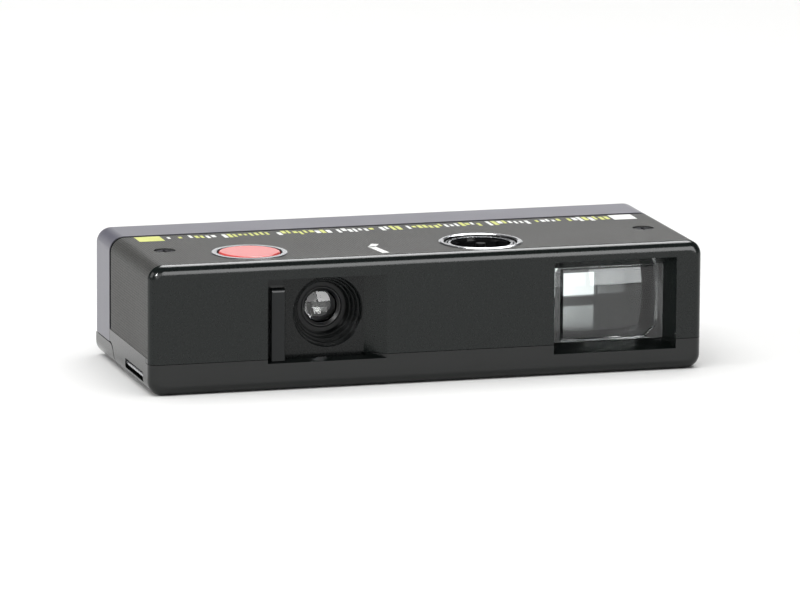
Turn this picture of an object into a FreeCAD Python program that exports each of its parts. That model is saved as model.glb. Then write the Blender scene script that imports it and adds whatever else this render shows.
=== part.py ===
"""Pocket film camera for drop-in cartridges, as separate pieces.

Frame: millimetres, +X to the right seen from the front, +Y to the back, +Z up.
The origin is the middle of the base.
"""

import FreeCAD
import Part

import math
import os

from FreeCAD import Vector

# Driving dimensions: body
body_width = 116.0
body_depth = 45.0
body_height = 26.5
body_corner_r = 3.0
front_edge_r = 1.9
rear_edge_r = 0.8
wall = 1.8
floor_thickness = 1.6
cover_thickness = 0.6
shell_thickness = 1.4

# Driving dimensions: clearances and overlaps
fit_gap = 0.1
seat_gap = 0.02
slide_gap = 0.15
part_gap = 0.2
body_gap = 0.25
running_gap = 0.05
weld = 0.2
over = 1.0
near = 0.01
min_corner_r = 0.3

# Driving dimensions: seams
front_seam_z = 6.5
side_seam_z = 7.6
panel_lip = 1.6
panel_skin = 2.0
panel_rim_depth = 3.1
panel_rim_wall = 1.4
frame_past_hinge = 0.5
seam_groove = 1.3
block_start = 0.5

# Driving dimensions: lens and its window
lens_x = -20.1
lens_drop = 11.5
lens_window_left = -33.6
lens_window_right = -8.8
lens_window_bottom = 5.6
lens_window_rise = 7.7
lens_window_bevel_right = 3.8
lens_window_bevel_left = 0.4
lens_window_bevel_top = 0.7
lens_window_bevel_bottom = 1.05
lens_board_setback = 3.7
lens_board_thickness = 1.2
baffle_mouth_r = 7.1
baffle_throat_r = 4.75
baffle_steps = 4
baffle_depth = 5.0
baffle_wall = 1.3
baffle_taper = 0.25
baffle_edge = 0.2
baffle_cup_share = 0.55
lens_tube_length = 5.5
barrel_r = 5.5
barrel_wall = 1.25
barrel_length = 6.2
ring_bore_r = 3.4
ring_depth = 0.8
element_thickness = 2.0
front_element_radius = 9.0
rear_element_radius = 14.0
stop_thickness = 0.5
stop_r = 1.3
barrel_seat_depth = 0.8
ring_lip = 0.5
ring_side_gap = 0.25
ring_slope = 0.4
front_element_rise = 0.35
front_element_start = 0.5
rear_element_hollow = 0.4

# Driving dimensions: lens cover
cover_plate_thickness = 0.8
cover_plate_length = 22.5
cover_overlap = 0.8
cover_slot_gap = 0.25
cover_board_margin = 0.5
board_past_window = 1.0
board_top_gap = 0.3
grip_left_gap = 0.9
grip_width = 3.0
grip_setback = 0.8
grip_top_gap = 1.9
grip_top_r = 0.9
grip_side_r = 0.35
rail_height = 0.6
rail_window_gap = 0.2

# Driving dimensions: finder
finder_width = 26.0
finder_right_margin = 5.6
finder_bottom = 4.5
finder_top_margin = 3.1
window_frame_edge = 1.2
finder_bevel = 1.5
finder_bevel_top = 2.0
finder_setback = 4.3
finder_lens_thickness = 2.8
finder_lens_radius = 51.0
finder_lens_hollow = 1.6
finder_lens_border = 0.5
finder_lens_gap = 0.05
finder_rim_side = 1.1
finder_rim_low = 0.2
finder_rim_slope = 0.8
finder_rim_depth = 0.5
finder_rim_corner = 2.1
tunnel_wall = 1.2
tunnel_lip = 0.7
tunnel_floor_z = 7.25
tunnel_right_front = 49.7
tunnel_right_rear = 47.35
tunnel_left_rear = 34.5
tunnel_end_wall = 1.0
tunnel_foot_front = 1.0
tunnel_foot_rear = 0.5
tunnel_foot_thickness = 1.3
tunnel_foot_past = 1.0
tunnel_foot_height = 6.0
tunnel_post_gap = 0.4
tunnel_dimple_r = 0.5
tunnel_dimple_y = -1.1
tunnel_dimple_z = 13.6
eyepiece_right_margin = 10.9
eyepiece_width = 9.9
eyepiece_top_margin = 11.1
eyepiece_height = 6.8
eyepiece_border = 0.8
eyepiece_thickness = 1.5
eyepiece_radius = 60.0
eyepiece_rim = 1.6
eye_bevel = 1.4

# Driving dimensions: film chamber
chamber_wall = 1.4
supply_width = 15.0
take_up_width = 17.0
chamber_reach = 14.5
chamber_from_front = 27.1
chamber_corner_r = 3.0
chamber_top_gap = 0.5
film_plane_inset = 6.9
chamber_past_rear = 6.0
pin_root = 0.3
bracket_gap = 0.3
bracket_front = -2.0
bracket_past_winding = 4.0
bracket_past_take_up = 3.5
gear_slot_gap = 0.3
hinge_relief_gap = 0.4
gate_width = 17.0
gate_height = 13.0
cone_wall = 1.2
cone_front_half = 4.0
flange_gap = 1.4
flange_left_reach = 13.9
flange_right_reach = 12.6
flange_thickness = 1.2
flange_bore_r = 3.2

# Driving dimensions: film door
door_right = 27.0
door_thickness = 1.6
door_floor = 1.5
cheek_height = 4.7
cheek_thickness = 1.8
hinge_from_front = 33.0
hinge_z = 1.8
hinge_pin_r = 0.75
hinge_pin_end = 1.0
knuckle_r = 1.5
knuckle_length = 3.0
lug_length = 3.6
lug_gap = 0.15
lug_clear = 0.4
right_lug_offset = 6.0
divider_reach = 3.4
divider_back_inset = 0.5
hinge_post_width = 3.0
hinge_post_front = 4.8
door_edge_r = 1.8
door_seam = 0.4
door_hollow_reach = 4.0
door_plate_edge_r = 0.5
knuckle_block_half = 1.2
knuckle_block_drop = 0.4
lug_slot_front = 5.0
lug_slot_back_gap = 0.5
lug_slot_height = 3.0
lug_root = 0.5
door_top_margin = 2.6
door_left_margin = 2.8
finger_groove_count = 9
finger_groove_pitch = 1.6
finger_groove_width = 0.7
finger_groove_depth = 0.35
finger_groove_inset = 4.0
finger_groove_low = 7.0
finger_groove_top_margin = 6.5
leaf_bow = 1.6
leaf_sheet = 0.3
leaf_width = 6.0
leaf_left_inset = 2.0
leaf_right_inset = 1.0
film_window_width = 14.0
film_window_height = 7.0
film_window_thickness = 1.0
film_window_border = 1.0

# Driving dimensions: latch
latch_travel = 3.5
latch_tip_reach = 1.3
latch_plate_length = 9.8
latch_plate_drop = 3.0
latch_plate_height = 2.6
latch_plate_thickness = 1.3
latch_grip_width = 3.8
latch_grip_height = 1.6
latch_grip_inset = 0.5
latch_hook_reach = 2.3
latch_hook_width = 1.9
latch_hook_thickness = 1.2
latch_hook_gap = 0.3
latch_rib_count = 3
latch_rib_width = 0.4
latch_rib_depth = 0.5

# Driving dimensions: shutter button and lever
button_x = -34.7
button_from_front = 10.3
button_r = 6.25
button_rise = 0.3
button_cap = 1.1
button_gap = 0.35
button_travel = 1.0
button_stem_r = 1.6
button_edge_r = 0.45
button_stop_gap = 0.15
button_spring_turns = 3
collar_r = 7.7
collar_rise = 0.2
collar_edge = 0.12
collar_spigot_wall = 0.5
ledge_thickness = 0.7
ledge_rim = 0.9
cup_r = 3.9
cup_wall = 0.9
cup_depth = 2.55
cup_floor = 0.7
spring_wire_r = 0.25
button_spring_r = 2.9
lever_x = -30.0
lever_hub_drop = 2.2
lever_pin_r = 0.75
lever_hub_r = 1.6
lever_arm_drop = 1.8
lever_arm_reach = 6.4
lever_arm_width = 2.0
lever_arm_thickness = 1.3
lever_tail = 9.0
lever_tail_thickness = 0.8
lever_hub_past = 1.0
lever_pin_past = 1.4
lever_web_past = 0.4
lever_web_drop = 0.5
lever_tail_half = 0.9
lever_tail_gap = 0.2
lever_stem_gap = 0.3

# Driving dimensions: shutter blade
blade_thickness = 0.4
blade_r = 4.2
blade_pivot_dx = 8.6
blade_pivot_dz = -5.0
blade_pin_r = 0.6
blade_hub_r = 1.6
blade_arm_width = 2.4
blade_gap = 1.0
blade_pin_past = 0.5
blade_spring_wall = 0.2

# Driving dimensions: flash socket
socket_x = 13.8
socket_from_front = 10.3
socket_bezel_r = 8.6
socket_bezel_rise = 0.25
socket_bezel_bore_r = 7.45
socket_bezel_wall = 0.55
socket_bezel_foot = 0.8
socket_bezel_slope = 0.35
socket_bezel_side = 0.05
bearing_wall = 1.6
bearing_depth = 2.0
socket_r = 7.2
socket_bore_r = 6.1
socket_bore_depth = 7.0
socket_floor = 1.2
socket_setback = 0.2
lug_width = 1.3
lug_height = 6.4
lug_depth = 0.9
rim_notch_width = 2.0
rim_notch_depth = 0.8
socket_foot_slope = 1.2
socket_rim_chamfer = 0.3
socket_mouth_chamfer = 0.5
socket_step = 1.0
socket_throat = 0.8
lug_root_depth = 0.3
ratchet_notch_r = 2.2
ratchet_notch_out = 0.8
spindle_r = 3.2
spindle_bore_r = 2.2
spindle_foot_z = 6.0
spindle_overlap = 3.0
ratchet_r = 5.2
ratchet_thickness = 1.2
ratchet_z = 10.0
ratchet_lobes = 4
detent_foot = 2.55
detent_width = 3.0
detent_sheet = 0.4
striker_r = 1.0
striker_top_gap = 0.1
striker_flange_z = 11.4
striker_flange_thickness = 0.6
striker_flange_inset = 0.3
striker_spring_inset = 0.7
striker_spring_turns = 2.5

# Driving dimensions: winding train
gear_module = 0.8
winding_teeth = 14
take_up_teeth = 10
pressure_angle = 20.0
tooth_above = 0.85
tooth_below = 1.15
flank_points = 5
backlash = 0.2
winding_x = 20.0
winding_from_socket = 12.8
take_up_dx = -4.8
gear_low_z = 2.0
gear_split_z = 5.2
gear_high_z = 6.8
gear_pin_r = 1.0
bracket_thickness = 1.2
slide_travel = 20.0
slide_plate_thickness = 2.0
slide_body_width = 3.0
slide_peg_r = 0.5
slide_peg_length = 1.0
slide_spring_r = 0.85
slide_spring_wire_r = 0.2
slide_spring_turns = 8
slide_spring_end = 0.2
thumb_pad_left = 25.0
thumb_pad_length = 11.0
thumb_pad_width = 4.2
thumb_pad_inset = 0.15
thumb_pad_setback = 0.5
thumb_slot_end_gap = 0.4
thumb_slot_side_gap = 0.3
thumb_rib_count = 7
thumb_rib_depth = 0.35
thumb_groove_width = 0.7
trough_depth = 0.5
trough_margin = 3.0
trough_corner_r = 2.0
rack_margin = 2.0

# Driving dimensions: fasteners, strap and small parts
screw_inset = 7.4
screw_from_front = 16.8
screw_head_r = 2.1
screw_head_thickness = 1.2
screw_shank_r = 0.9
screw_length = 5.0
screw_sink = 0.25
screw_slot = 0.5
screw_slot_half = 1.3
screw_slot_depth = 0.6
screw_tip_gap = 0.4
post_r = 2.5
finder_post_r = 2.0
strap_from_front = 5.5
strap_length = 14.7
strap_bottom_z = 2.1
strap_top_z = 4.1
strap_depth = 2.8
strap_bar_r = 0.45
strap_bar_inset = 0.75
strap_bar_end = 0.8
strap_post_inset = 1.0
strap_post_reach = 4.4
strap_post_past = 1.2
strap_post_above = 1.3
pawl_width = 1.0
pawl_pin_r = 0.6
pawl_hub_r = 1.2
pawl_length = 4.6
pawl_nib_height = 1.0
pawl_nib_reach = 0.7
pawl_half_arm = 0.6
pawl_gate_gap = 0.4
pawl_slot_gap = 0.3
pawl_slot_above = 1.2
pawl_hub_gap = 0.6
frame_lip = 1.0
frame_lip_depth = 2.0
frame_lip_rise = 0.3
frame_lip_root = 0.5

# Places worked out from the driving dimensions
half_w = body_width / 2
front_y = -body_depth / 2
rear_y = body_depth / 2
hinge_y = front_y + hinge_from_front
panel_back_y = front_y + panel_lip
skin_back_y = front_y + panel_skin
rim_back_y = front_y + panel_rim_depth
band_y = hinge_y + frame_past_hinge
cover_back_y = band_y - seam_groove
shell_inset = cover_thickness
shell_inner = cover_thickness + shell_thickness
ceiling_z = body_height - shell_inner
lens_z = body_height - lens_drop
lens_window_top = lens_z + lens_window_rise
board_y = front_y + lens_board_setback
board_back_y = board_y + lens_board_thickness
throat_y = board_y + baffle_depth
barrel_back_y = throat_y + barrel_length
flange_y = barrel_back_y + flange_gap
finder_right = half_w - finder_right_margin
finder_left = finder_right - finder_width
finder_top = body_height - finder_top_margin
finder_frame_y = front_y + finder_setback
tunnel_front_y = finder_frame_y + finder_lens_thickness + fit_gap
rear_wall_y = rear_y - door_thickness
eyepiece_left = half_w - eyepiece_right_margin - eyepiece_width
eyepiece_bottom = body_height - eyepiece_top_margin - eyepiece_height
eyepiece_y = rear_wall_y - fit_gap - eyepiece_thickness
supply_left = lens_x - chamber_reach - supply_width
supply_right = lens_x - chamber_reach
take_up_left = lens_x + chamber_reach
take_up_right = take_up_left + take_up_width
chamber_front_y = front_y + chamber_from_front
chamber_top_z = ceiling_z - chamber_top_gap
film_plane_y = rear_y - film_plane_inset
door_plate_top = body_height - door_top_margin
door_plate_left = -half_w + door_left_margin
seat_r = cheek_height - hinge_z
frame_low_z = cheek_height + part_gap
divider_x = door_right + 0.4
divider_thickness = 1.5
latch_plate_left = divider_x + latch_tip_reach
latch_plate_right = latch_plate_left + latch_plate_length
latch_plate_bottom = door_plate_top - latch_plate_drop
latch_grip_right = latch_plate_right - latch_grip_inset
button_y = front_y + button_from_front
socket_y = front_y + socket_from_front
winding_y = socket_y + winding_from_socket
winding_r = gear_module * winding_teeth / 2
take_up_r = gear_module * take_up_teeth / 2
take_up_x = winding_x + take_up_dx
take_up_y = winding_y + math.sqrt((winding_r + take_up_r) ** 2 - take_up_dx ** 2)
rack_y = winding_y - winding_r
button_bore_r = button_r + button_gap
spigot_r = button_bore_r + collar_spigot_wall
ledge_top_z = body_height + button_rise - button_cap - button_travel - button_stop_gap
button_top_z = body_height + button_rise
cup_floor_z = ledge_top_z - cup_depth
lever_arm_z = cup_floor_z - lever_arm_drop
lever_z = lever_arm_z - lever_hub_drop
screw_x = half_w - screw_inset
screw_y = front_y + screw_from_front
strap_front_y = front_y + strap_from_front
strap_back_y = strap_front_y + strap_length
blade_y = flange_y - blade_gap
blade_pivot_x = lens_x + blade_pivot_dx
blade_pivot_z = lens_z + blade_pivot_dz

PARTS = {}


def box(x0, x1, y0, y1, z0, z1):
    """A block between two corners."""
    return Part.makeBox(x1 - x0, y1 - y0, z1 - z0, Vector(x0, y0, z0))


def rod(radius, start, end):
    """A cylinder between two points."""
    a, b = Vector(*start), Vector(*end)
    return Part.makeCylinder(radius, (b - a).Length, a, b - a)


def ring(outer, inner, start, end):
    """A tube between two points."""
    return rod(outer, start, end).cut(rod(inner, start, end))


def fuse(shapes):
    """One solid from touching shapes."""
    first, rest = shapes[0], shapes[1:]
    return first.fuse(rest).removeSplitter() if rest else first


def cut(shape, tools):
    """The shape less every tool."""
    for tool in tools:
        shape = shape.cut(tool)
    return shape


def body_slab(y0, y1, inset=0.0, z0=0.0):
    """The body's rounded section, set in evenly, between two depths and above a height."""
    r = max(body_corner_r - inset, min_corner_r)
    x, low, high = half_w - inset, inset, body_height - inset
    slab = Part.makeBox(2 * x, y1 - y0, high - low, Vector(-x, y0, low))
    edges = [e for e in slab.Edges if abs(e.tangentAt(e.FirstParameter).y) > 0.99]
    slab = slab.makeFillet(r, edges)
    return slab.common(box(-body_width, body_width, y0, y1, z0, 2 * body_height))


def rectangle(x0, x1, z0, z1, y):
    """A closed rectangular wire facing the front."""
    corners = [(x0, z0), (x1, z0), (x1, z1), (x0, z1), (x0, z0)]
    return Part.makePolygon([Vector(x, y, z) for x, z in corners])


def funnel(front, y0, rear, y1):
    """A straight loft between two rectangles given as left, right, bottom, top."""
    return Part.makeLoft([rectangle(*front, y0), rectangle(*rear, y1)], True, True)


def turned(profile, centre, axis):
    """A closed radius and height outline turned once round an axis through the centre."""
    points = [Vector(r, 0, h) for r, h in profile + profile[:1]]
    solid = Part.Face(Part.makePolygon(points)).revolve(Vector(0, 0, 0), Vector(0, 0, 1), 360)
    solid.Placement = FreeCAD.Placement(
        Vector(*centre), FreeCAD.Rotation(Vector(0, 0, 1), Vector(*axis)))
    return solid


def prism(points, base_z, height):
    """A plan outline raised to a height."""
    wire = Part.makePolygon([Vector(x, y, base_z) for x, y in points + points[:1]])
    return Part.Face(wire).extrude(Vector(0, 0, height))


def front_prism(points, y0, y1):
    """A front outline drawn out towards the back."""
    wire = Part.makePolygon([Vector(x, y0, z) for x, z in points + points[:1]])
    return Part.Face(wire).extrude(Vector(0, y1 - y0, 0))


def link(x0, z0, x1, z1, width, y0, y1):
    """A straight flat bar between two points of the front view."""
    length = math.hypot(x1 - x0, z1 - z0)
    nx, nz = -(z1 - z0) / length * width / 2, (x1 - x0) / length * width / 2
    return front_prism([(x0 + nx, z0 + nz), (x1 + nx, z1 + nz), (x1 - nx, z1 - nz),
                        (x0 - nx, z0 - nz)], y0, y1)


def coil(radius, wire_r, pitch, length, start, axis):
    """A helical spring from a start point along an axis."""
    helix = Part.makeLongHelix(pitch, length, radius)
    profile = Part.Wire(Part.makeCircle(wire_r, Vector(radius, 0, 0), Vector(0, 1, 0)))
    solid = Part.Wire(helix.Edges).makePipeShell([profile], True, True)
    solid = Part.makeSolid(solid) if solid.ShapeType != "Solid" else solid
    solid.Placement = FreeCAD.Placement(
        Vector(*start), FreeCAD.Rotation(Vector(0, 0, 1), Vector(*axis)))
    return solid


def keep(name, shape):
    """Notes a finished piece under its node's name."""
    PARTS[name] = shape


def lens_window():
    """The bevelled opening in front of the lens."""
    front = (lens_window_left, lens_window_right, lens_window_bottom, lens_window_top)
    rear = (lens_window_left + lens_window_bevel_left,
            lens_window_right - lens_window_bevel_right,
            lens_window_bottom + lens_window_bevel_bottom,
            lens_window_top - lens_window_bevel_top)
    bevel = funnel(front, front_y, rear, board_y)
    mouth = box(front[0], front[1], front_y - over, front_y, front[2], front[3])
    return bevel.fuse(mouth)


def finder_window():
    """The bevelled opening in front of the finder lens."""
    front = (finder_left, finder_right, finder_bottom, finder_top)
    rear = (finder_left + finder_bevel, finder_right - finder_bevel,
            finder_bottom + finder_bevel, finder_top - finder_bevel_top)
    bevel = funnel(front, front_y, rear, finder_frame_y)
    mouth = box(front[0], front[1], front_y - over, front_y, front[2], front[3])
    return bevel.fuse(mouth)


def finder_frame_block():
    """The thick frame round the finder window, down to the lens seat."""
    edge = window_frame_edge
    return box(finder_left - edge, finder_right + edge, front_y + block_start, finder_frame_y,
               floor_thickness, ceiling_z - fit_gap)


def lens_jamb_block():
    """The thick right jamb that carries the lens window's wide bevel."""
    return box(lens_window_right - lens_window_bevel_right - fit_gap,
               lens_window_right + window_frame_edge, front_y + block_start, board_y,
               floor_thickness, ceiling_z - fit_gap)


def bottom_housing():
    """Moulded tray: floor, low walls, front strip, strap slot and guides for the slide."""
    tray = body_slab(front_y, rear_y)
    tray = tray.common(box(-half_w, half_w, front_y, rear_y, 0, side_seam_z - fit_gap))
    front_edges = [e for e in tray.Edges
                   if abs(e.BoundBox.YMin - front_y) < near
                   and abs(e.BoundBox.YMax - front_y) < near
                   and e.BoundBox.ZMax < side_seam_z - over]
    tray = tray.makeFillet(front_edge_r, front_edges)
    hollow = box(-half_w + wall, half_w - wall, front_y + wall, rear_y - wall,
                 floor_thickness, side_seam_z)
    tray = tray.cut(hollow)
    root_z = floor_thickness - weld
    posts = [
        box(-half_w + strap_post_inset, -half_w + strap_post_reach,
            strap_front_y - strap_post_past, strap_back_y + strap_post_past,
            root_z, strap_top_z + strap_post_above),
        finder_frame_block().common(below_seam()),
        lens_jamb_block().common(below_seam()),
        box(divider_x, divider_x + divider_thickness, hinge_y - divider_reach,
            rear_y - divider_back_inset, root_z, cheek_height),
        box(door_right - hinge_post_width, divider_x + divider_thickness,
            hinge_y - hinge_post_front, hinge_y - seat_r - part_gap,
            root_z, side_seam_z - fit_gap),
        rod(post_r, (-screw_x, screw_y, root_z), (-screw_x, screw_y, ceiling_z)),
        rod(spindle_r - part_gap, (socket_x, socket_y, root_z),
            (socket_x, socket_y, spindle_foot_z - fit_gap)),
        rod(spindle_bore_r - running_gap, (socket_x, socket_y, floor_thickness),
            (socket_x, socket_y, spindle_foot_z + spindle_overlap)),
    ]
    tray = fuse([tray] + posts)
    pad_y0 = thumb_pad_y()
    slot = box(thumb_pad_left - slide_travel - thumb_slot_end_gap,
               thumb_pad_left + thumb_pad_length + thumb_slot_end_gap,
               pad_y0 - thumb_slot_side_gap, pad_y0 + thumb_pad_width + thumb_slot_side_gap,
               -over, floor_thickness + over)
    dish = box(thumb_pad_left - slide_travel - trough_margin,
               thumb_pad_left + thumb_pad_length + trough_margin,
               pad_y0 - trough_margin, pad_y0 + thumb_pad_width + trough_margin,
               -over, trough_depth)
    dish = dish.makeFillet(trough_corner_r, [e for e in dish.Edges
                                             if abs(e.tangentAt(e.FirstParameter).z) > 0.99])
    strap = box(-half_w - over, -half_w + strap_depth, strap_front_y, strap_back_y,
                strap_bottom_z, strap_top_z)
    screw_hole = rod(screw_shank_r, (-screw_x, screw_y, ceiling_z - screw_length),
                     (-screw_x, screw_y, ceiling_z + over))
    door_space = fuse([
        box(-half_w - over, door_right + part_gap, hinge_y, rear_y + over, -over, frame_low_z),
        rod(seat_r + part_gap, (-half_w - over, hinge_y, hinge_z),
            (door_right + part_gap, hinge_y, hinge_z)),
        rod(seat_r + door_seam, (-half_w - over, hinge_y, hinge_z),
            (-half_w + cheek_thickness, hinge_y, hinge_z))])
    frame_space = box(-half_w - over, half_w + over, band_y - fit_gap, rear_y + over,
                      frame_low_z, body_height)
    panel_space = box(-half_w - over, half_w + over, front_y - over, rim_back_y + fit_gap,
                      front_seam_z - fit_gap, body_height)
    tray = cut(tray, [slot, dish, strap, strap_bar_rod(), screw_hole, door_space, frame_space,
                      panel_space, lens_window(), finder_window()])
    for x in lug_centres():
        low, high = x - lug_length / 2, x + lug_length / 2
        lug = fuse([
            box(low, high, hinge_y - seat_r - lug_root, hinge_y, hinge_z - knuckle_r,
                hinge_z + knuckle_r),
            rod(knuckle_r, (low, hinge_y, hinge_z), (high, hinge_y, hinge_z))])
        tray = tray.fuse(lug)
    tray = tray.cut(hinge_bore())
    rear_corner = body_slab(front_y, rear_y)
    tray = tray.common(rear_corner).removeSplitter()
    keep("bottom_housing", tray)


def strap_bar_rod():
    """The strap bar, midway up its slot and held in the wall at both ends."""
    x, z = -half_w + strap_bar_inset, (strap_bottom_z + strap_top_z) / 2
    return rod(strap_bar_r, (x, strap_front_y - strap_bar_end, z),
               (x, strap_back_y + strap_bar_end, z))


def below_seam():
    """The space of the housing's front strip."""
    return box(-half_w, half_w, front_y, 0, 0, front_seam_z - fit_gap)


def lug_centres():
    """Where the housing's hinge lugs stand: beside and between the film chambers."""
    return [supply_left - chamber_wall - lug_clear - lug_length / 2, lens_x,
            take_up_right + chamber_wall + right_lug_offset]


def knuckle_spans():
    """Left and right ends of each door knuckle, one each side of the inner lugs."""
    spans = []
    for x in lug_centres()[1:]:
        near = lug_length / 2 + lug_gap
        spans.append((x - near - knuckle_length, x - near))
        spans.append((x + near, x + near + knuckle_length))
    return spans


def hinge_bore():
    """The bore for the hinge pin, with its running clearance."""
    return rod(hinge_pin_r + running_gap, (hinge_start_x() - fit_gap, hinge_y, hinge_z),
               (hinge_end_x() + fit_gap, hinge_y, hinge_z))


def hinge_start_x():
    """The left end of the hinge pin, part of the way into the door's cheek."""
    return -half_w + cheek_thickness - hinge_pin_end


def hinge_end_x():
    """The right end of the hinge pin, flush with the last door knuckle."""
    return knuckle_spans()[-1][1]


def front_panel():
    """Smooth front moulding with a lip, a rim behind it and two bevelled windows."""
    lip = body_slab(front_y, 0.0)
    front_edges = [e for e in lip.Edges if abs(e.BoundBox.YMax - front_y) < near]
    lip = lip.makeFillet(front_edge_r, front_edges)
    lip = lip.common(box(-half_w, half_w, front_y, panel_back_y, front_seam_z, body_height))
    inset = cover_thickness + fit_gap
    core = body_slab(panel_back_y, rim_back_y, inset, front_seam_z)
    pocket = body_slab(skin_back_y, rim_back_y + over, inset + panel_rim_wall)
    tab = body_slab(panel_back_y, rim_back_y, 0.0, front_seam_z)
    tab = tab.common(box(-half_w, half_w, front_y, 0, 0, side_seam_z - fit_gap))
    panel = fuse([lip, core.cut(pocket), tab.cut(pocket)])
    above_seam = box(-half_w, half_w, front_y, 0, front_seam_z, ceiling_z - fit_gap)
    panel = fuse([panel, finder_frame_block().common(above_seam),
                  lens_jamb_block().common(above_seam)])
    relief_r = socket_bezel_bore_r + socket_bezel_wall + body_gap + fit_gap
    socket_relief = rod(relief_r, (socket_x, socket_y, side_seam_z),
                        (socket_x, socket_y, body_height - fit_gap))
    socket_relief = socket_relief.common(box(-half_w, half_w, panel_back_y, 0, 0, body_height))
    panel = cut(panel, [lens_window(), finder_window(), socket_relief])
    keep("front_panel", panel.removeSplitter())


def top_holes(button_hole_r, socket_hole_r, screw_hole_r):
    """The holes that the cover and the shell share."""
    low, high = side_seam_z, body_height + over
    holes = [rod(button_hole_r, (button_x, button_y, low), (button_x, button_y, high)),
             rod(socket_hole_r, (socket_x, socket_y, low), (socket_x, socket_y, high))]
    for side in (-1, 1):
        holes.append(rod(screw_hole_r, (side * screw_x, screw_y, low),
                         (side * screw_x, screw_y, high)))
    return holes


def top_wrap():
    """Thin pressed cover over the left side, the top and the right side."""
    skin = body_slab(panel_back_y + running_gap, cover_back_y, 0.0, side_seam_z)
    skin = skin.cut(body_slab(front_y, rear_y, shell_inset))
    bezel_hole_r = socket_bezel_bore_r + socket_bezel_wall + slide_gap
    keep("top_wrap", cut(skin, top_holes(spigot_r + fit_gap, bezel_hole_r,
                                         screw_head_r + fit_gap)))


def body_shell():
    """Moulded inner shell with the button's cup, the socket's bearing and screw seats."""
    outer = body_slab(rim_back_y + fit_gap, band_y - fit_gap, shell_inset, side_seam_z)
    shell = outer.cut(body_slab(front_y, rear_y, shell_inner))
    button_hole = rod(spigot_r + fit_gap, (button_x, button_y, ledge_top_z),
                      (button_x, button_y, body_height))
    ledge = rod(spigot_r + fit_gap + ledge_rim, (button_x, button_y, ledge_top_z - ledge_thickness),
                (button_x, button_y, ledge_top_z))
    ledge = ledge.common(box(-half_w, half_w, board_back_y + body_gap, 0, 0, body_height))
    cup = rod(cup_r + cup_wall, (button_x, button_y, cup_floor_z),
              (button_x, button_y, ledge_top_z))
    well = rod(cup_r, (button_x, button_y, cup_floor_z + cup_floor),
               (button_x, button_y, ledge_top_z + over))
    bearing = rod(socket_r + bearing_wall, (socket_x, socket_y, ceiling_z - bearing_depth),
                  (socket_x, socket_y, ceiling_z + weld))
    bearing = bearing.common(box(0, half_w, rim_back_y + fit_gap, 0, 0, body_height))
    shell = fuse([shell, ledge, cup, bearing])
    shell = cut(shell, [button_hole, well])
    head_seat = body_height - screw_sink - screw_head_thickness
    tools = [
        rod(button_stem_r + fit_gap, (button_x, button_y, cup_floor_z - over),
            (button_x, button_y, ledge_top_z)),
        rod(socket_r + body_gap, (socket_x, socket_y, ceiling_z - bearing_depth - over),
            (socket_x, socket_y, body_height)),
        rod(socket_bezel_bore_r + socket_bezel_wall + running_gap,
            (socket_x, socket_y, body_height - cover_thickness - socket_bezel_foot),
            (socket_x, socket_y, body_height)),
    ]
    for side in (-1, 1):
        tools.append(rod(screw_shank_r + fit_gap, (side * screw_x, screw_y, ceiling_z - over),
                         (side * screw_x, screw_y, body_height)))
        tools.append(rod(screw_head_r + fit_gap, (side * screw_x, screw_y, head_seat),
                         (side * screw_x, screw_y, body_height)))
    keep("body_shell", cut(shell, tools))


def rear_frame():
    """Smooth band round the back, with the eyepiece wall and the latch slots."""
    band = body_slab(band_y, rear_y, 0.0, frame_low_z)
    rear_edges = [e for e in band.Edges if abs(e.BoundBox.YMin - rear_y) < near
                  and e.BoundBox.ZMax > frame_low_z + near]
    band = band.makeFillet(rear_edge_r, rear_edges)
    opening = box(door_plate_left - part_gap, divider_x, band_y - over, rear_y + over, 0,
                  door_plate_top + part_gap)
    pocket = box(divider_x + divider_thickness, half_w - wall, band_y - over, rear_wall_y, 0,
                 door_plate_top + part_gap)
    lip_y = band_y - frame_lip_depth
    lip = body_slab(lip_y, band_y + frame_lip_root, shell_inner + fit_gap,
                    side_seam_z + frame_lip_rise)
    lip = lip.cut(body_slab(lip_y - over, band_y + over, shell_inner + fit_gap + frame_lip))
    lip = lip.cut(box(door_plate_left, divider_x, lip_y - over, band_y + over, 0, body_height))
    band = cut(band, [opening, pocket])
    inner_eye = (eyepiece_left, eyepiece_left + eyepiece_width,
                 eyepiece_bottom, eyepiece_bottom + eyepiece_height)
    outer_eye = (inner_eye[0] - eye_bevel, inner_eye[1] + eye_bevel,
                 inner_eye[2] - eye_bevel, inner_eye[3] + eye_bevel)
    eye = funnel(inner_eye, rear_wall_y, outer_eye, rear_y)
    grip_left = latch_grip_right - latch_grip_width - latch_travel
    grip_slot = box(grip_left - part_gap, latch_grip_right + part_gap,
                    rear_wall_y - over, rear_y + over,
                    latch_grip_z() - part_gap, latch_grip_z() + latch_grip_height + part_gap)
    tongue_slot = box(divider_x - over, divider_x + divider_thickness + over,
                      latch_y() - slide_gap, latch_y() + latch_plate_thickness + slide_gap,
                      latch_plate_bottom - slide_gap,
                      latch_plate_bottom + latch_plate_height + slide_gap)
    band = cut(band, [eye, grip_slot, tongue_slot])
    keep("rear_frame", fuse([band, lip]))


def latch_y():
    """The front face of the latch plate, just inside the rear wall."""
    return rear_wall_y - fit_gap - latch_plate_thickness


def latch_grip_z():
    """The bottom of the latch's grip."""
    return latch_plate_bottom + (latch_plate_height - latch_grip_height) / 2


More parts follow.
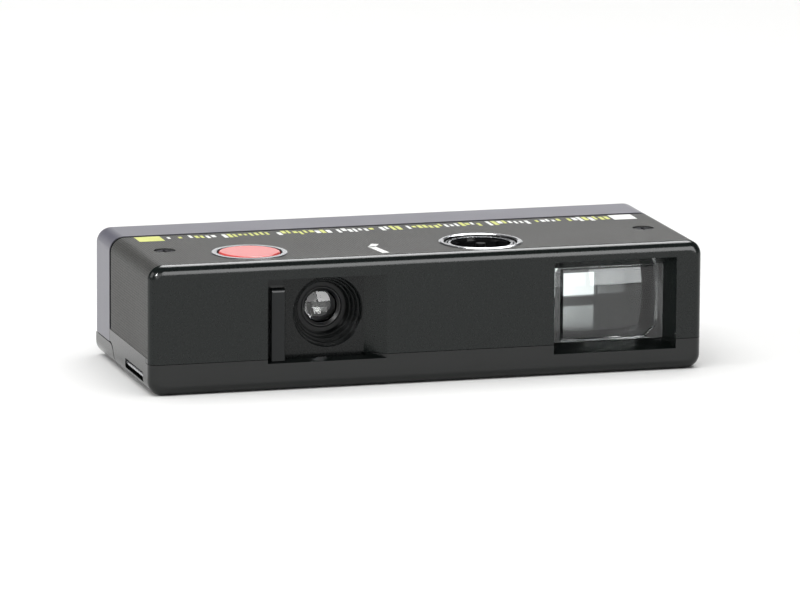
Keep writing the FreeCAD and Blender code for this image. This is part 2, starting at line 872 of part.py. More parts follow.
def door_latch():
    """Sliding latch plate with a ribbed grip that stands in the rear wall's slot."""
    plate = box(latch_plate_left, latch_plate_right, latch_y(), latch_y() + latch_plate_thickness,
                latch_plate_bottom, latch_plate_bottom + latch_plate_height)
    grip = box(latch_grip_right - latch_grip_width, latch_grip_right,
               latch_y() + latch_plate_thickness, rear_y - fit_gap,
               latch_grip_z(), latch_grip_z() + latch_grip_height)
    latch = fuse([plate, grip])
    pitch = latch_grip_width / (latch_rib_count + 1)
    for i in range(latch_rib_count):
        x = latch_grip_right - latch_grip_width + (i + 1) * pitch
        latch = latch.cut(box(x - latch_rib_width / 2, x + latch_rib_width / 2,
                              rear_y - latch_rib_depth, rear_y, 0, body_height))
    keep("door_latch", latch)


def door_profile(height):
    """Side outline of the door's bottom strip, rounded about the hinge at its front."""
    front_low = hinge_y - math.sqrt(seat_r ** 2 - hinge_z ** 2)
    arc_in = Part.Arc(Vector(0, front_low, 0), Vector(0, hinge_y - seat_r, hinge_z),
                      Vector(0, hinge_y, hinge_z + seat_r)).toShape()
    points = [(hinge_y, hinge_z + seat_r), (rear_y, height), (rear_y, door_edge_r)]
    lines = [Part.makeLine(Vector(0, *points[i]), Vector(0, *points[i + 1])) for i in range(2)]
    quarter = door_edge_r * math.sqrt(0.5)
    arc_out = Part.Arc(Vector(0, rear_y, door_edge_r),
                       Vector(0, rear_y - door_edge_r + quarter, door_edge_r - quarter),
                       Vector(0, rear_y - door_edge_r, 0)).toShape()
    base = Part.makeLine(Vector(0, rear_y - door_edge_r, 0), Vector(0, front_low, 0))
    return Part.Face(Part.Wire([arc_in] + lines + [arc_out, base]))


def film_door():
    """L-shaped back door: rear plate, bottom strip, left cheek, hinge knuckles and hook."""
    face = door_profile(cheek_height)
    strip = face.copy()
    strip.translate(Vector(-half_w, 0, 0))
    strip = strip.extrude(Vector(door_right + half_w, 0, 0))
    hollow = box(-half_w + cheek_thickness, door_right + over, hinge_y - door_hollow_reach,
                 rear_wall_y, door_floor, cheek_height + over)
    strip = strip.cut(hollow)
    plate = box(door_plate_left, door_right, rear_wall_y, rear_y, door_floor, door_plate_top)
    top_edges = [e for e in plate.Edges if abs(e.BoundBox.ZMin - door_plate_top) < near
                 and abs(e.BoundBox.YMin - rear_y) < near]
    plate = plate.makeFillet(door_plate_edge_r, top_edges)
    hook_right = door_right - part_gap
    hook_x = hook_right - latch_hook_reach
    hook_left = hook_x - latch_hook_width
    hook_back = latch_y() - latch_hook_gap
    hook_top = latch_plate_bottom + latch_plate_height
    hook = fuse([
        box(hook_left, hook_right, hook_back - latch_hook_thickness, hook_back,
            latch_plate_bottom, hook_top),
        box(hook_left, hook_x, hook_back - weld, rear_wall_y + weld,
            latch_plate_bottom, hook_top)])
    pieces = [strip, plate, hook]
    for low, high in knuckle_spans():
        pieces.append(rod(knuckle_r, (low, hinge_y, hinge_z), (high, hinge_y, hinge_z)))
        pieces.append(box(low, high, hinge_y - knuckle_block_half, hinge_y + knuckle_block_half,
                          door_floor - knuckle_block_drop, hinge_z))
    door = fuse(pieces)
    for x in lug_centres():
        door = door.cut(box(x - lug_length / 2 - lug_gap, x + lug_length / 2 + lug_gap,
                            hinge_y - lug_slot_front, hinge_y + knuckle_r + lug_slot_back_gap,
                            -over, hinge_z + lug_slot_height))
    door = door.cut(hinge_bore())
    door = door.cut(film_window_pocket())
    for i in range(finger_groove_count):
        x = door_plate_left + finger_groove_inset + i * finger_groove_pitch
        door = door.cut(box(x, x + finger_groove_width, rear_y - finger_groove_depth,
                            rear_y + over, finger_groove_low,
                            body_height - finger_groove_top_margin))
    keep("film_door", door.common(body_slab(front_y, rear_y)).removeSplitter())


def film_window_pocket():
    """The opening in the door for the film window, with a ledge inside."""
    x0, z0 = lens_x - film_window_width / 2, lens_z - film_window_height / 2
    through = box(x0, x0 + film_window_width, rear_wall_y - over, rear_y + over,
                  z0, z0 + film_window_height)
    b = film_window_border
    ledge = box(x0 - b, x0 + film_window_width + b, rear_wall_y - over,
                rear_wall_y + film_window_thickness + seat_gap,
                z0 - b, z0 + film_window_height + b)
    return through.fuse(ledge)


def film_window():
    """Clear pane that sits on the ledge inside the door."""
    x0, z0 = lens_x - film_window_width / 2, lens_z - film_window_height / 2
    b = film_window_border - fit_gap
    keep("film_window", box(x0 - b, x0 + film_window_width + b, rear_wall_y,
                            rear_wall_y + film_window_thickness,
                            z0 - b, z0 + film_window_height + b))


def pressure_spring():
    """Bowed leaf that presses the cartridge forward, held on the door's inner face."""
    x0, x1 = supply_left + leaf_left_inset, supply_right - leaf_right_inset
    z0 = lens_z - leaf_width / 2
    bow, sheet = leaf_bow, leaf_sheet
    y = rear_wall_y
    outer = Part.Arc(Vector(x0, y, z0), Vector((x0 + x1) / 2, y - bow, z0),
                     Vector(x1, y, z0)).toShape()
    inner = Part.Arc(Vector(x1 - sheet, y, z0), Vector((x0 + x1) / 2, y - bow + sheet, z0),
                     Vector(x0 + sheet, y, z0)).toShape()
    ends = [Part.makeLine(Vector(x1, y, z0), Vector(x1 - sheet, y, z0)),
            Part.makeLine(Vector(x0 + sheet, y, z0), Vector(x0, y, z0))]
    face = Part.Face(Part.Wire([outer, ends[0], inner, ends[1]]))
    keep("pressure_spring", face.extrude(Vector(0, 0, leaf_width)))


def hinge_pin():
    """Steel pin through the housing's lugs and the door's knuckles."""
    keep("door_hinge_pin", rod(hinge_pin_r, (hinge_start_x(), hinge_y, hinge_z),
                               (hinge_end_x(), hinge_y, hinge_z)))


def film_chamber():
    """Chassis moulding: two chambers, film gate, light cone, shutter flange, gear bracket."""
    w, y_in, y_out = chamber_wall, chamber_front_y, chamber_front_y - chamber_wall
    rear = rear_wall_y - part_gap
    past = rear + chamber_past_rear
    supply = rounded_box(supply_left - w, supply_right + w, y_out, past, chamber_corner_r + w)
    take_up = rounded_box(take_up_left - w, take_up_right + w, y_out, past,
                          chamber_corner_r + w)
    gate = box(supply_right, take_up_left, film_plane_y - w, film_plane_y,
               floor_thickness, chamber_top_z)
    supply_in = rounded_box(supply_left, supply_right, y_in, past, chamber_corner_r)
    take_in = rounded_box(take_up_left, take_up_right, y_in, past, chamber_corner_r)
    outer = fuse([supply, take_up, gate])
    outer = cut(outer, [supply_in, take_in,
                        box(-half_w, half_w, rear, past + over, 0, body_height),
                        box(supply_right - near, take_up_left + near, film_plane_y,
                            past + over, 0, body_height)])
    half_h = gate_height / 2
    c = cone_wall
    gate_rect = (lens_x - gate_width / 2 - c, lens_x + gate_width / 2 + c,
                 lens_z - half_h - c, lens_z + half_h + c)
    front_half = cone_front_half
    front_rect = (lens_x - front_half - c, lens_x + front_half + c,
                  lens_z - front_half - c, lens_z + front_half + c)
    inner_gate = (gate_rect[0] + c, gate_rect[1] - c, gate_rect[2] + c, gate_rect[3] - c)
    inner_front = (front_rect[0] + c, front_rect[1] - c, front_rect[2] + c, front_rect[3] - c)
    flange_back = flange_y + flange_thickness
    cone = funnel(front_rect, flange_back - fit_gap, gate_rect, film_plane_y - w + fit_gap)
    hollow = fuse([funnel(inner_front, flange_back, inner_gate, film_plane_y - w),
                   box(inner_gate[0], inner_gate[1], film_plane_y - w, film_plane_y + over,
                       inner_gate[2], inner_gate[3])])
    flange = box(lens_x - flange_left_reach, lens_x + flange_right_reach, flange_y, flange_back,
                 floor_thickness, chamber_top_z - over)
    body = fuse([outer, cone, flange])
    body = cut(body, [hollow, rod(flange_bore_r, (lens_x, flange_y - over, lens_z),
                                  (lens_x, flange_back + over, lens_z))])
    lever_pin = rod(lever_pin_r, (lever_x, flange_y + pin_root, lever_z),
                    (lever_x, button_y - lever_pin_past, lever_z))
    blade_pin = rod(blade_pin_r, (blade_pivot_x, flange_y + pin_root, blade_pivot_z),
                    (blade_pivot_x, blade_y - blade_pin_past, blade_pivot_z))
    bracket_z = gear_high_z + bracket_gap
    bracket = box(take_up_right + w - weld, winding_x + bracket_past_winding, bracket_front,
                  take_up_y + bracket_past_take_up, bracket_z, bracket_z + bracket_thickness)
    winding_pin = rod(gear_pin_r, (winding_x, winding_y, gear_low_z - weld),
                      (winding_x, winding_y, bracket_z + weld))
    take_up_pin = rod(gear_pin_r, (take_up_x, take_up_y, gear_split_z - fit_gap),
                      (take_up_x, take_up_y, bracket_z + weld))
    gear_slot = rod(take_up_r + gear_module + gear_slot_gap,
                    (take_up_x, take_up_y, gear_split_z - gear_slot_gap),
                    (take_up_x, take_up_y, gear_high_z + gear_slot_gap))
    hinge_relief = rod(seat_r + hinge_relief_gap, (-half_w, hinge_y, hinge_z),
                       (door_right, hinge_y, hinge_z))
    pawl_slot = box(pawl_x() - pawl_slot_gap, pawl_x() + pawl_width + pawl_slot_gap,
                    film_plane_y - w - over, film_plane_y + over,
                    pawl_z() + pawl_length - pawl_nib_height - pawl_slot_gap,
                    pawl_z() + pawl_length + pawl_slot_above)
    pawl_pin = rod(pawl_pin_r, (pawl_x() - pawl_slot_gap, pawl_y(), pawl_z()),
                   (take_up_left - w + weld, pawl_y(), pawl_z()))
    body = body.cut(gear_slot.common(box(take_up_right - over, half_w, 0, rear_y,
                                         0, body_height)))
    body = cut(body, [hinge_relief, pawl_slot])
    body = fuse([body, lever_pin, blade_pin, bracket, winding_pin, take_up_pin, pawl_pin])
    low = body.common(box(-half_w, half_w, front_y, rear_y, floor_thickness, chamber_top_z))
    keep("film_chamber", low.removeSplitter())


def rounded_box(x0, x1, y0, y1, r):
    """A chamber block with rounded upright corners."""
    block = box(x0, x1, y0, y1, floor_thickness, chamber_top_z)
    edges = [e for e in block.Edges if abs(e.tangentAt(e.FirstParameter).z) > 0.99]
    return block.makeFillet(r, edges)


def pawl_x():
    """Left side of the metering pawl, just right of the light cone."""
    return lens_x + gate_width / 2 + cone_wall + pawl_gate_gap


def pawl_y():
    """Depth of the pawl's pivot, in front of the gate plate."""
    return film_plane_y - chamber_wall - pawl_hub_r - pawl_hub_gap


def pawl_z():
    """Height of the pawl's pivot."""
    return lens_z + gate_height / 2 - pawl_length


def metering_pawl():
    """Small lever whose nib reaches through the gate plate into the film's perforation."""
    x0, x1, y, z = pawl_x(), pawl_x() + pawl_width, pawl_y(), pawl_z()
    hub = rod(pawl_hub_r, (x0, y, z), (x1, y, z))
    arm = box(x0, x1, y - pawl_half_arm, y + pawl_half_arm, z, z + pawl_length)
    nib = box(x0, x1, y - pawl_half_arm, film_plane_y + pawl_nib_reach,
              z + pawl_length - pawl_nib_height, z + pawl_length)
    hole = rod(pawl_pin_r + running_gap, (x0 - over, y, z), (x1 + over, y, z))
    keep("metering_pawl", fuse([hub, arm, nib]).cut(hole))


def lens_board():
    """Plate behind the lens window with cover guides, stepped baffle rings and lens tube."""
    left = cover_right_x() - cover_plate_length - cover_board_margin
    right = lens_window_right + board_past_window
    plate = box(left, right, board_y, board_back_y, floor_thickness, ceiling_z - board_top_gap)
    outer_r = baffle_mouth_r + baffle_wall
    tube_r = barrel_r + running_gap + baffle_wall
    axis_end = throat_y + lens_tube_length
    cup = turned([(0, 0), (outer_r, 0), (outer_r, baffle_depth * baffle_cup_share),
                  (tube_r, baffle_depth),
                  (tube_r, baffle_depth + lens_tube_length), (0, baffle_depth + lens_tube_length)],
                 (lens_x, board_y, lens_z), (0, 1, 0))
    board = fuse([plate, cup])
    step_r = (baffle_mouth_r - baffle_throat_r) / baffle_steps
    step_y = baffle_depth / baffle_steps
    profile = [(0, -over), (baffle_mouth_r + baffle_edge, -over)]
    for i in range(baffle_steps):
        r, depth = baffle_mouth_r - i * step_r, i * step_y
        profile += [(r + baffle_edge, depth), (r, depth + baffle_edge),
                    (r - baffle_taper, depth + step_y)]
    profile += [(baffle_throat_r, baffle_depth), (0, baffle_depth)]
    bore = turned(profile, (lens_x, board_y, lens_z), (0, 1, 0))
    seat = rod(barrel_r + running_gap, (lens_x, throat_y, lens_z),
               (lens_x, axis_end + over, lens_z))
    board = cut(board, [bore, seat])
    rails = []
    low, high = cover_low_z(), cover_high_z()
    rail_right = lens_window_right - lens_window_bevel_right - rail_window_gap
    for z0 in (low - slide_gap - rail_height, high + slide_gap):
        rails.append(box(left, rail_right, cover_front_y() - fit_gap, board_y + fit_gap,
                         z0, z0 + rail_height))
    keep("lens_board", fuse([board] + rails))


def cover_right_x():
    """Right edge of the lens cover with the cover open."""
    return lens_window_left + grip_left_gap + grip_width


def cover_low_z():
    """Bottom edge of the lens cover plate."""
    return lens_window_bottom - cover_overlap


def cover_high_z():
    """Top edge of the lens cover plate."""
    return lens_window_top + cover_overlap


def cover_front_y():
    """Front face of the lens cover plate."""
    return board_y - cover_slot_gap - cover_plate_thickness


def sill_z(y):
    """Height just above the sloped sill of the lens window at a depth."""
    slope = lens_window_bevel_bottom / lens_board_setback
    return lens_window_bottom + slope * (y - front_y) + fit_gap


def lens_cover():
    """Sliding cover plate with an upright grip bar that stands in the window."""
    right = cover_right_x()
    plate = box(right - cover_plate_length, right, cover_front_y(), board_y - cover_slot_gap,
                cover_low_z(), cover_high_z())
    bar_front, bar_back = front_y + grip_setback, cover_front_y() + fit_gap
    bar_top = lens_window_top - grip_top_gap
    outline = [(bar_front, sill_z(bar_front)), (bar_back, sill_z(bar_back)),
               (bar_back, bar_top), (bar_front, bar_top), (bar_front, sill_z(bar_front))]
    wire = Part.makePolygon([Vector(right - grip_width, y, z) for y, z in outline])
    bar = Part.Face(wire).extrude(Vector(grip_width, 0, 0))
    top_edge = [e for e in bar.Edges if abs(e.BoundBox.YMax - bar_front) < near
                and e.BoundBox.ZMin > lens_z]
    bar = bar.makeFillet(grip_top_r, top_edge)
    side_edges = [e for e in bar.Edges if abs(e.BoundBox.YMax - bar_front) < near
                  and abs(e.tangentAt(e.FirstParameter).z) > 0.99]
    bar = bar.makeFillet(grip_side_r, side_edges)
    keep("lens_cover", fuse([plate, bar]))


def lens_group():
    """Barrel, retaining ring, two glass elements and the aperture stop on the lens axis."""
    axis, centre = (0, 1, 0), (lens_x, throat_y, lens_z)
    bore = barrel_r - barrel_wall
    back = barrel_length
    keep("lens_barrel", turned([(bore, fit_gap), (barrel_r, fit_gap), (barrel_r, back),
                                (ring_bore_r, back), (ring_bore_r, back - barrel_seat_depth),
                                (bore, back - barrel_seat_depth)], centre, axis))
    keep("lens_retaining_ring", turned([
        (ring_bore_r + ring_lip, fit_gap), (bore - ring_side_gap, fit_gap),
        (bore, fit_gap + ring_side_gap), (bore, ring_depth), (ring_bore_r, ring_depth),
        (ring_bore_r, fit_gap + ring_slope)],
        centre, axis))
    front0 = ring_depth
    glass_r = bore
    front_el = rod(glass_r, (lens_x, throat_y + front0, lens_z),
                   (lens_x, throat_y + front0 + element_thickness, lens_z))
    ball = Part.makeSphere(front_element_radius, Vector(
        lens_x, throat_y + front0 - front_element_rise + front_element_radius, lens_z))
    dome = ball.common(rod(ring_bore_r - running_gap, (lens_x, throat_y - over, lens_z),
                           (lens_x, throat_y + front0 + front_element_start, lens_z)))
    keep("front_lens_element", fuse([front_el, dome]))
    stop0 = front0 + element_thickness
    keep("aperture_stop", ring(glass_r, stop_r, (lens_x, throat_y + stop0, lens_z),
                               (lens_x, throat_y + stop0 + stop_thickness, lens_z)))
    rear0 = stop0 + stop_thickness
    rear1 = back - barrel_seat_depth
    rear_el = rod(glass_r, (lens_x, throat_y + rear0, lens_z), (lens_x, throat_y + rear1, lens_z))
    hollow = Part.makeSphere(rear_element_radius, Vector(
        lens_x, throat_y + rear0 + rear_element_hollow - rear_element_radius, lens_z))
    keep("rear_lens_element", rear_el.cut(hollow))


def shutter_blade():
    """Thin blade that covers the lens opening and swings down about its pivot."""
    y0, y1 = blade_y, blade_y + blade_thickness
    disc = rod(blade_r, (lens_x, y0, lens_z), (lens_x, y1, lens_z))
    hub = rod(blade_hub_r, (blade_pivot_x, y0, blade_pivot_z), (blade_pivot_x, y1, blade_pivot_z))
    arm = link(lens_x, lens_z, blade_pivot_x, blade_pivot_z, blade_arm_width, y0, y1)
    hole = rod(blade_pin_r + running_gap, (blade_pivot_x, y0 - over, blade_pivot_z),
               (blade_pivot_x, y1 + over, blade_pivot_z))
    keep("shutter_blade", fuse([disc, hub, arm]).cut(hole))
    spring = ring(blade_hub_r - blade_spring_wall, blade_pin_r + fit_gap,
                  (blade_pivot_x, y1 + running_gap, blade_pivot_z),
                  (blade_pivot_x, flange_y - running_gap, blade_pivot_z))
    keep("blade_spring", spring)


def release_lever():
    """Bell crank: an arm under the button's stem and a tail beside the shutter blade."""
    y_front, y_back = button_y - lever_hub_past, flange_y - part_gap
    hub = rod(lever_hub_r, (lever_x, y_front, lever_z), (lever_x, y_back, lever_z))
    top = lever_arm_z
    arm = box(lever_x - lever_arm_reach, lever_x, button_y - lever_arm_width / 2,
              button_y + lever_arm_width / 2, top - lever_arm_thickness, top)
    web = box(lever_x - lever_hub_r, lever_x + lever_web_past, button_y - lever_arm_width / 2,
              button_y + lever_arm_width / 2, lever_z - lever_web_drop, top)
    tail_front = blade_y - lever_tail_gap - lever_tail_thickness
    tail = box(lever_x - lever_tail_half, lever_x + lever_tail_half, tail_front,
               tail_front + lever_tail_thickness, lever_z - lever_tail, lever_z)
    hole = rod(lever_pin_r + running_gap, (lever_x, y_front - over, lever_z),
               (lever_x, y_back + over, lever_z))
    keep("release_lever", fuse([hub, arm, web, tail]).cut(hole))


def shutter_button():
    """Round button with a softened edge, a guided stem and a spring below it."""
    cap_low = button_top_z - button_cap
    cap = rod(button_r, (button_x, button_y, cap_low), (button_x, button_y, button_top_z))
    rim = [e for e in cap.Edges if abs(e.BoundBox.ZMin - button_top_z) < near]
    cap = cap.makeFillet(button_edge_r, rim)
    stem = rod(button_stem_r, (button_x, button_y, lever_arm_z + lever_stem_gap),
               (button_x, button_y, cap_low + weld))
    keep("shutter_button", fuse([cap, stem]))
    low = cup_floor_z + cup_floor
    length = cap_low - low - 2 * spring_wire_r
    keep("button_spring", coil(button_spring_r, spring_wire_r, length / button_spring_turns,
                               length, (button_x, button_y, low + spring_wire_r), (0, 0, 1)))
    keep("button_collar", turned([
        (button_bore_r, ledge_top_z - body_height), (spigot_r, ledge_top_z - body_height),
        (spigot_r, 0), (collar_r, 0), (collar_r, collar_rise - collar_edge),
        (collar_r - collar_edge, collar_rise), (button_bore_r + collar_edge, collar_rise),
        (button_bore_r, collar_rise - collar_edge)],
        (button_x, button_y, body_height), (0, 0, 1)))


def flash_socket():
    """Turning socket for a flash cube, with its bezel, ratchet, striker and springs."""
    up, centre = (0, 0, 1), (socket_x, socket_y, 0)
    top = body_height - socket_setback
    floor_z = top - socket_bore_depth
    base = floor_z - socket_floor
    cup = turned([
        (spindle_bore_r, spindle_foot_z), (spindle_r, spindle_foot_z),
        (spindle_r, base - socket_step), (socket_r - socket_foot_slope, base),
        (socket_r, base + socket_foot_slope), (socket_r, top - socket_rim_chamfer),
        (socket_r - socket_rim_chamfer, top), (socket_bore_r + socket_mouth_chamfer, top),
        (socket_bore_r, top - socket_mouth_chamfer), (socket_bore_r, floor_z),
        (striker_r + running_gap, floor_z), (striker_r + running_gap, base - socket_throat),
        (spindle_bore_r, base - socket_throat)], centre, up)
    lugs = []
    for i in range(ratchet_lobes):
        lug = box(socket_x + socket_bore_r - lug_depth, socket_x + socket_bore_r + lug_root_depth,
                  socket_y - lug_width / 2, socket_y + lug_width / 2,
                  floor_z, floor_z + lug_height)
        lug.rotate(Vector(socket_x, socket_y, 0), Vector(0, 0, 1), 45 + i * 90)
        lugs.append(lug)
    socket = fuse([cup] + lugs)
    for i in range(ratchet_lobes):
        notch = box(socket_x + socket_bore_r - over, socket_x + socket_r + over,
                    socket_y - rim_notch_width / 2, socket_y + rim_notch_width / 2,
                    top - rim_notch_depth, top + over)
        notch.rotate(Vector(socket_x, socket_y, 0), Vector(0, 0, 1), i * 90)
        socket = socket.cut(notch)
    keep("flash_socket", socket)
    foot_r, foot_z = socket_bezel_bore_r + socket_bezel_wall, -cover_thickness - socket_bezel_foot
    keep("socket_bezel", turned([
        (socket_bezel_bore_r, foot_z), (foot_r, foot_z), (foot_r, 0), (socket_bezel_r, 0),
        (socket_bezel_r, socket_bezel_side),
        (socket_bezel_r - socket_bezel_slope, socket_bezel_rise),
        (socket_bezel_bore_r + socket_bezel_slope, socket_bezel_rise),
        (socket_bezel_bore_r, socket_bezel_side)],
        (socket_x, socket_y, body_height), up))
    wheel = ring(ratchet_r, spindle_r, (socket_x, socket_y, ratchet_z),
                 (socket_x, socket_y, ratchet_z + ratchet_thickness))
    for i in range(ratchet_lobes):
        a = math.radians(45 + 90 * i)
        x = socket_x + (ratchet_r + ratchet_notch_out) * math.cos(a)
        y = socket_y + (ratchet_r + ratchet_notch_out) * math.sin(a)
        wheel = wheel.cut(rod(ratchet_notch_r, (x, y, ratchet_z - over),
                              (x, y, ratchet_z + ratchet_thickness + over)))
    keep("socket_ratchet", wheel)
    rod_low = striker_flange_z
    striker = fuse([
        rod(spindle_bore_r - striker_flange_inset, (socket_x, socket_y, rod_low),
            (socket_x, socket_y, rod_low + striker_flange_thickness)),
        rod(striker_r, (socket_x, socket_y, rod_low),
            (socket_x, socket_y, top - striker_top_gap))])
    keep("flash_striker", striker)
    foot = spindle_foot_z + spindle_overlap
    length = rod_low - foot - 2 * spring_wire_r
    keep("striker_spring", coil(spindle_bore_r - striker_spring_inset, spring_wire_r,
                                length / striker_spring_turns, length,
                                (socket_x, socket_y, foot + spring_wire_r), (0, 0, 1)))


def involute_gear(teeth, x, y, z0, z1, turn):
    """Spur gear with involute flanks, thinned for backlash, turned by an angle."""
    pitch_r = gear_module * teeth / 2
    base_r = pitch_r * math.cos(math.radians(pressure_angle))
    tip_r = pitch_r + tooth_above * gear_module
    root_r = pitch_r - tooth_below * gear_module
    half = (math.pi * gear_module / 2 - backlash) / 2 / pitch_r

    def involute(r):
        if r <= base_r:
            return 0.0
        t = math.sqrt((r / base_r) ** 2 - 1)
        return t - math.atan(t)

    at_pitch = involute(pitch_r)
    flank_low = max(base_r, root_r)
    radii = [root_r] + [flank_low + (tip_r - flank_low) * i / (flank_points - 1)
                        for i in range(flank_points)]
    points = []
    for k in range(teeth):
        middle = turn + 2 * math.pi * k / teeth
        for r in radii:
            a = middle - half - at_pitch + involute(r)
            points.append((x + r * math.cos(a), y + r * math.sin(a)))
        for r in reversed(radii):
            a = middle + half + at_pitch - involute(r)
            points.append((x + r * math.cos(a), y + r * math.sin(a)))
    gear = prism(points, z0, z1 - z0)
    return gear.cut(rod(gear_pin_r + running_gap, (x, y, z0 - over), (x, y, z1 + over)))


def winding_train():
    """Thumb slide with its rack, the wide winding gear and the take-up gear."""
    step = 2 * math.pi / winding_teeth
    towards_rack = -math.pi / 2
    winding_turn = towards_rack + step / 2
    keep("winding_gear", involute_gear(winding_teeth, winding_x, winding_y,
                                       gear_low_z, gear_high_z, winding_turn))
    across = math.atan2(take_up_y - winding_y, take_up_x - winding_x)
    phase = ((across - winding_turn) / step) % 1.0
    take_up_step = 2 * math.pi / take_up_teeth
    take_up_turn = across + math.pi + (phase + 0.5) * take_up_step
    keep("take_up_gear", involute_gear(take_up_teeth, take_up_x, take_up_y,
                                       gear_split_z, gear_high_z, take_up_turn))
    advance_slide()


def thumb_pad_y():
    """Front edge of the thumb pad under the slide plate."""
    return rack_y - slide_body_width - thumb_pad_setback


def advance_slide():
    """Slide plate on the floor: rack along its back edge, ribbed thumb pad underneath."""
    plate_low = floor_thickness + fit_gap
    plate_high = plate_low + slide_plate_thickness
    body_back = rack_y - tooth_below * gear_module
    body_front = body_back - slide_body_width
    left = winding_x - rack_margin * gear_module * math.pi
    right = winding_x + slide_travel + rack_margin * gear_module * math.pi
    plate = box(left, right, body_front, body_back, plate_low, plate_high)
    pitch = math.pi * gear_module
    slope = math.tan(math.radians(pressure_angle))
    half = pitch / 4 - backlash / 2
    tip, root = tooth_above * gear_module, tooth_below * gear_module
    teeth = []
    count = int((right - left) / pitch)
    first = winding_x + pitch * math.ceil((left + pitch / 2 - winding_x) / pitch)
    for k in range(count):
        x = first + k * pitch
        if x > right - pitch / 2:
            break
        points = [(x - half - root * slope, body_back - fit_gap),
                  (x - half - root * slope, body_back),
                  (x - half + tip * slope, rack_y + tip), (x + half - tip * slope, rack_y + tip),
                  (x + half + root * slope, body_back),
                  (x + half + root * slope, body_back - fit_gap)]
        teeth.append(prism(points, gear_low_z, plate_high - gear_low_z))
    pad_y0 = thumb_pad_y()
    pad = box(thumb_pad_left, thumb_pad_left + thumb_pad_length, pad_y0,
              pad_y0 + thumb_pad_width, thumb_pad_inset, plate_low + fit_gap)
    slide = fuse([plate, pad] + teeth)
    rib_pitch = thumb_pad_length / thumb_rib_count
    for i in range(thumb_rib_count):
        x = thumb_pad_left + (i + 0.5) * rib_pitch
        slide = slide.cut(box(x - thumb_groove_width / 2, x + thumb_groove_width / 2,
                              pad_y0 - over, body_back + over,
                              -over, thumb_pad_inset + thumb_rib_depth))
    middle = (body_front + body_back) / 2
    peg_z = plate_low + slide_plate_thickness / 2
    peg = rod(slide_peg_r, (right - weld, middle, peg_z), (right + slide_peg_length, middle, peg_z))
    keep("advance_slide", fuse([slide, peg]))
    spring_start = right + fit_gap
    spring_end = half_w - wall - slide_spring_end
    length = spring_end - spring_start
    keep("slide_spring", coil(slide_spring_r, slide_spring_wire_r, length / slide_spring_turns,
                              length - 2 * slide_spring_wire_r,
                              (spring_start + slide_spring_wire_r, middle,
                               peg_z + running_gap), (1, 0, 0)))


def finder():
    """Clear front lens, tapered tunnel with feet and screw boss, and the eyepiece."""
    b = finder_lens_border
    x0, x1 = finder_left + finder_bevel - b, finder_right - finder_bevel + b
    z0, z1 = finder_bottom + finder_bevel - b, finder_top - finder_bevel_top + b
    lens_front, lens_back = finder_frame_y + seat_gap, tunnel_front_y - finder_lens_gap
    blank = box(x0, x1, lens_front, lens_back, z0, z1)
    middle = Vector((x0 + x1) / 2, lens_back - finder_lens_hollow + finder_lens_radius,
                    (z0 + z1) / 2)
    hollow = Part.makeSphere(finder_lens_radius, middle)
    keep("viewfinder_lens", cut(blank, [hollow, finder_lens_recess(lens_front)]))
    t, lip, e = tunnel_wall, tunnel_lip, eyepiece_border
    front_in = (x0 + lip, tunnel_right_front, tunnel_floor_z, z1 - lip)
    front_out = (x0 - t, x1 + t, z0 - t, z1 + t)
    eye_in = (eyepiece_left, eyepiece_left + eyepiece_width,
              eyepiece_bottom, eyepiece_bottom + eyepiece_height)
    rear_in = (tunnel_left_rear, tunnel_right_rear, tunnel_floor_z, eye_in[3] + t)
    rear_out = (rear_in[0] - t, rear_in[1] + t, rear_in[2] - t, rear_in[3] + t)
    shell = funnel(front_out, tunnel_front_y, rear_out, eyepiece_y)
    rim = box(eye_in[0] - e - t, eye_in[1] + e + t, eyepiece_y - eyepiece_rim,
              eyepiece_y + eyepiece_thickness, eye_in[2] - e - t, eye_in[3] + e + t)
    feet = []
    for y in (tunnel_front_y + tunnel_foot_front, hinge_y - tunnel_foot_rear):
        feet.append(box(eye_in[0] - tunnel_foot_past, eye_in[1] + tunnel_foot_past,
                        y, y + tunnel_foot_thickness,
                        floor_thickness, finder_bottom + tunnel_foot_height))
    post = rod(finder_post_r, (screw_x, screw_y, side_seam_z + tunnel_post_gap),
               (screw_x, screw_y, ceiling_z))
    shape = fuse([shell, rim, post] + feet)
    inner = funnel(front_in, tunnel_front_y, rear_in, eyepiece_y - tunnel_end_wall)
    lens_pocket = box(eye_in[0] - e, eye_in[1] + e, eyepiece_y,
                      eyepiece_y + eyepiece_thickness + over, eye_in[2] - e, eye_in[3] + e)
    throat = box(eye_in[0], eye_in[1], eyepiece_y - tunnel_end_wall - over, eyepiece_y + over,
                 eye_in[2], eye_in[3])
    screw_hole = rod(screw_shank_r, (screw_x, screw_y, ceiling_z - screw_length),
                     (screw_x, screw_y, ceiling_z + over))
    keep("viewfinder_tunnel", cut(shape, [inner, lens_pocket, throat, screw_hole,
                                          tunnel_dimple()]))
    g = e - running_gap
    eye = box(eye_in[0] - g, eye_in[1] + g, eyepiece_y + seat_gap,
              eyepiece_y + eyepiece_thickness, eye_in[2] - g, eye_in[3] + g)
    ball = Part.makeSphere(eyepiece_radius, Vector(
        (eye_in[0] + eye_in[1]) / 2, eyepiece_y + seat_gap + eyepiece_radius,
        (eye_in[2] + eye_in[3]) / 2))
    keep("viewfinder_eyepiece", eye.common(ball))


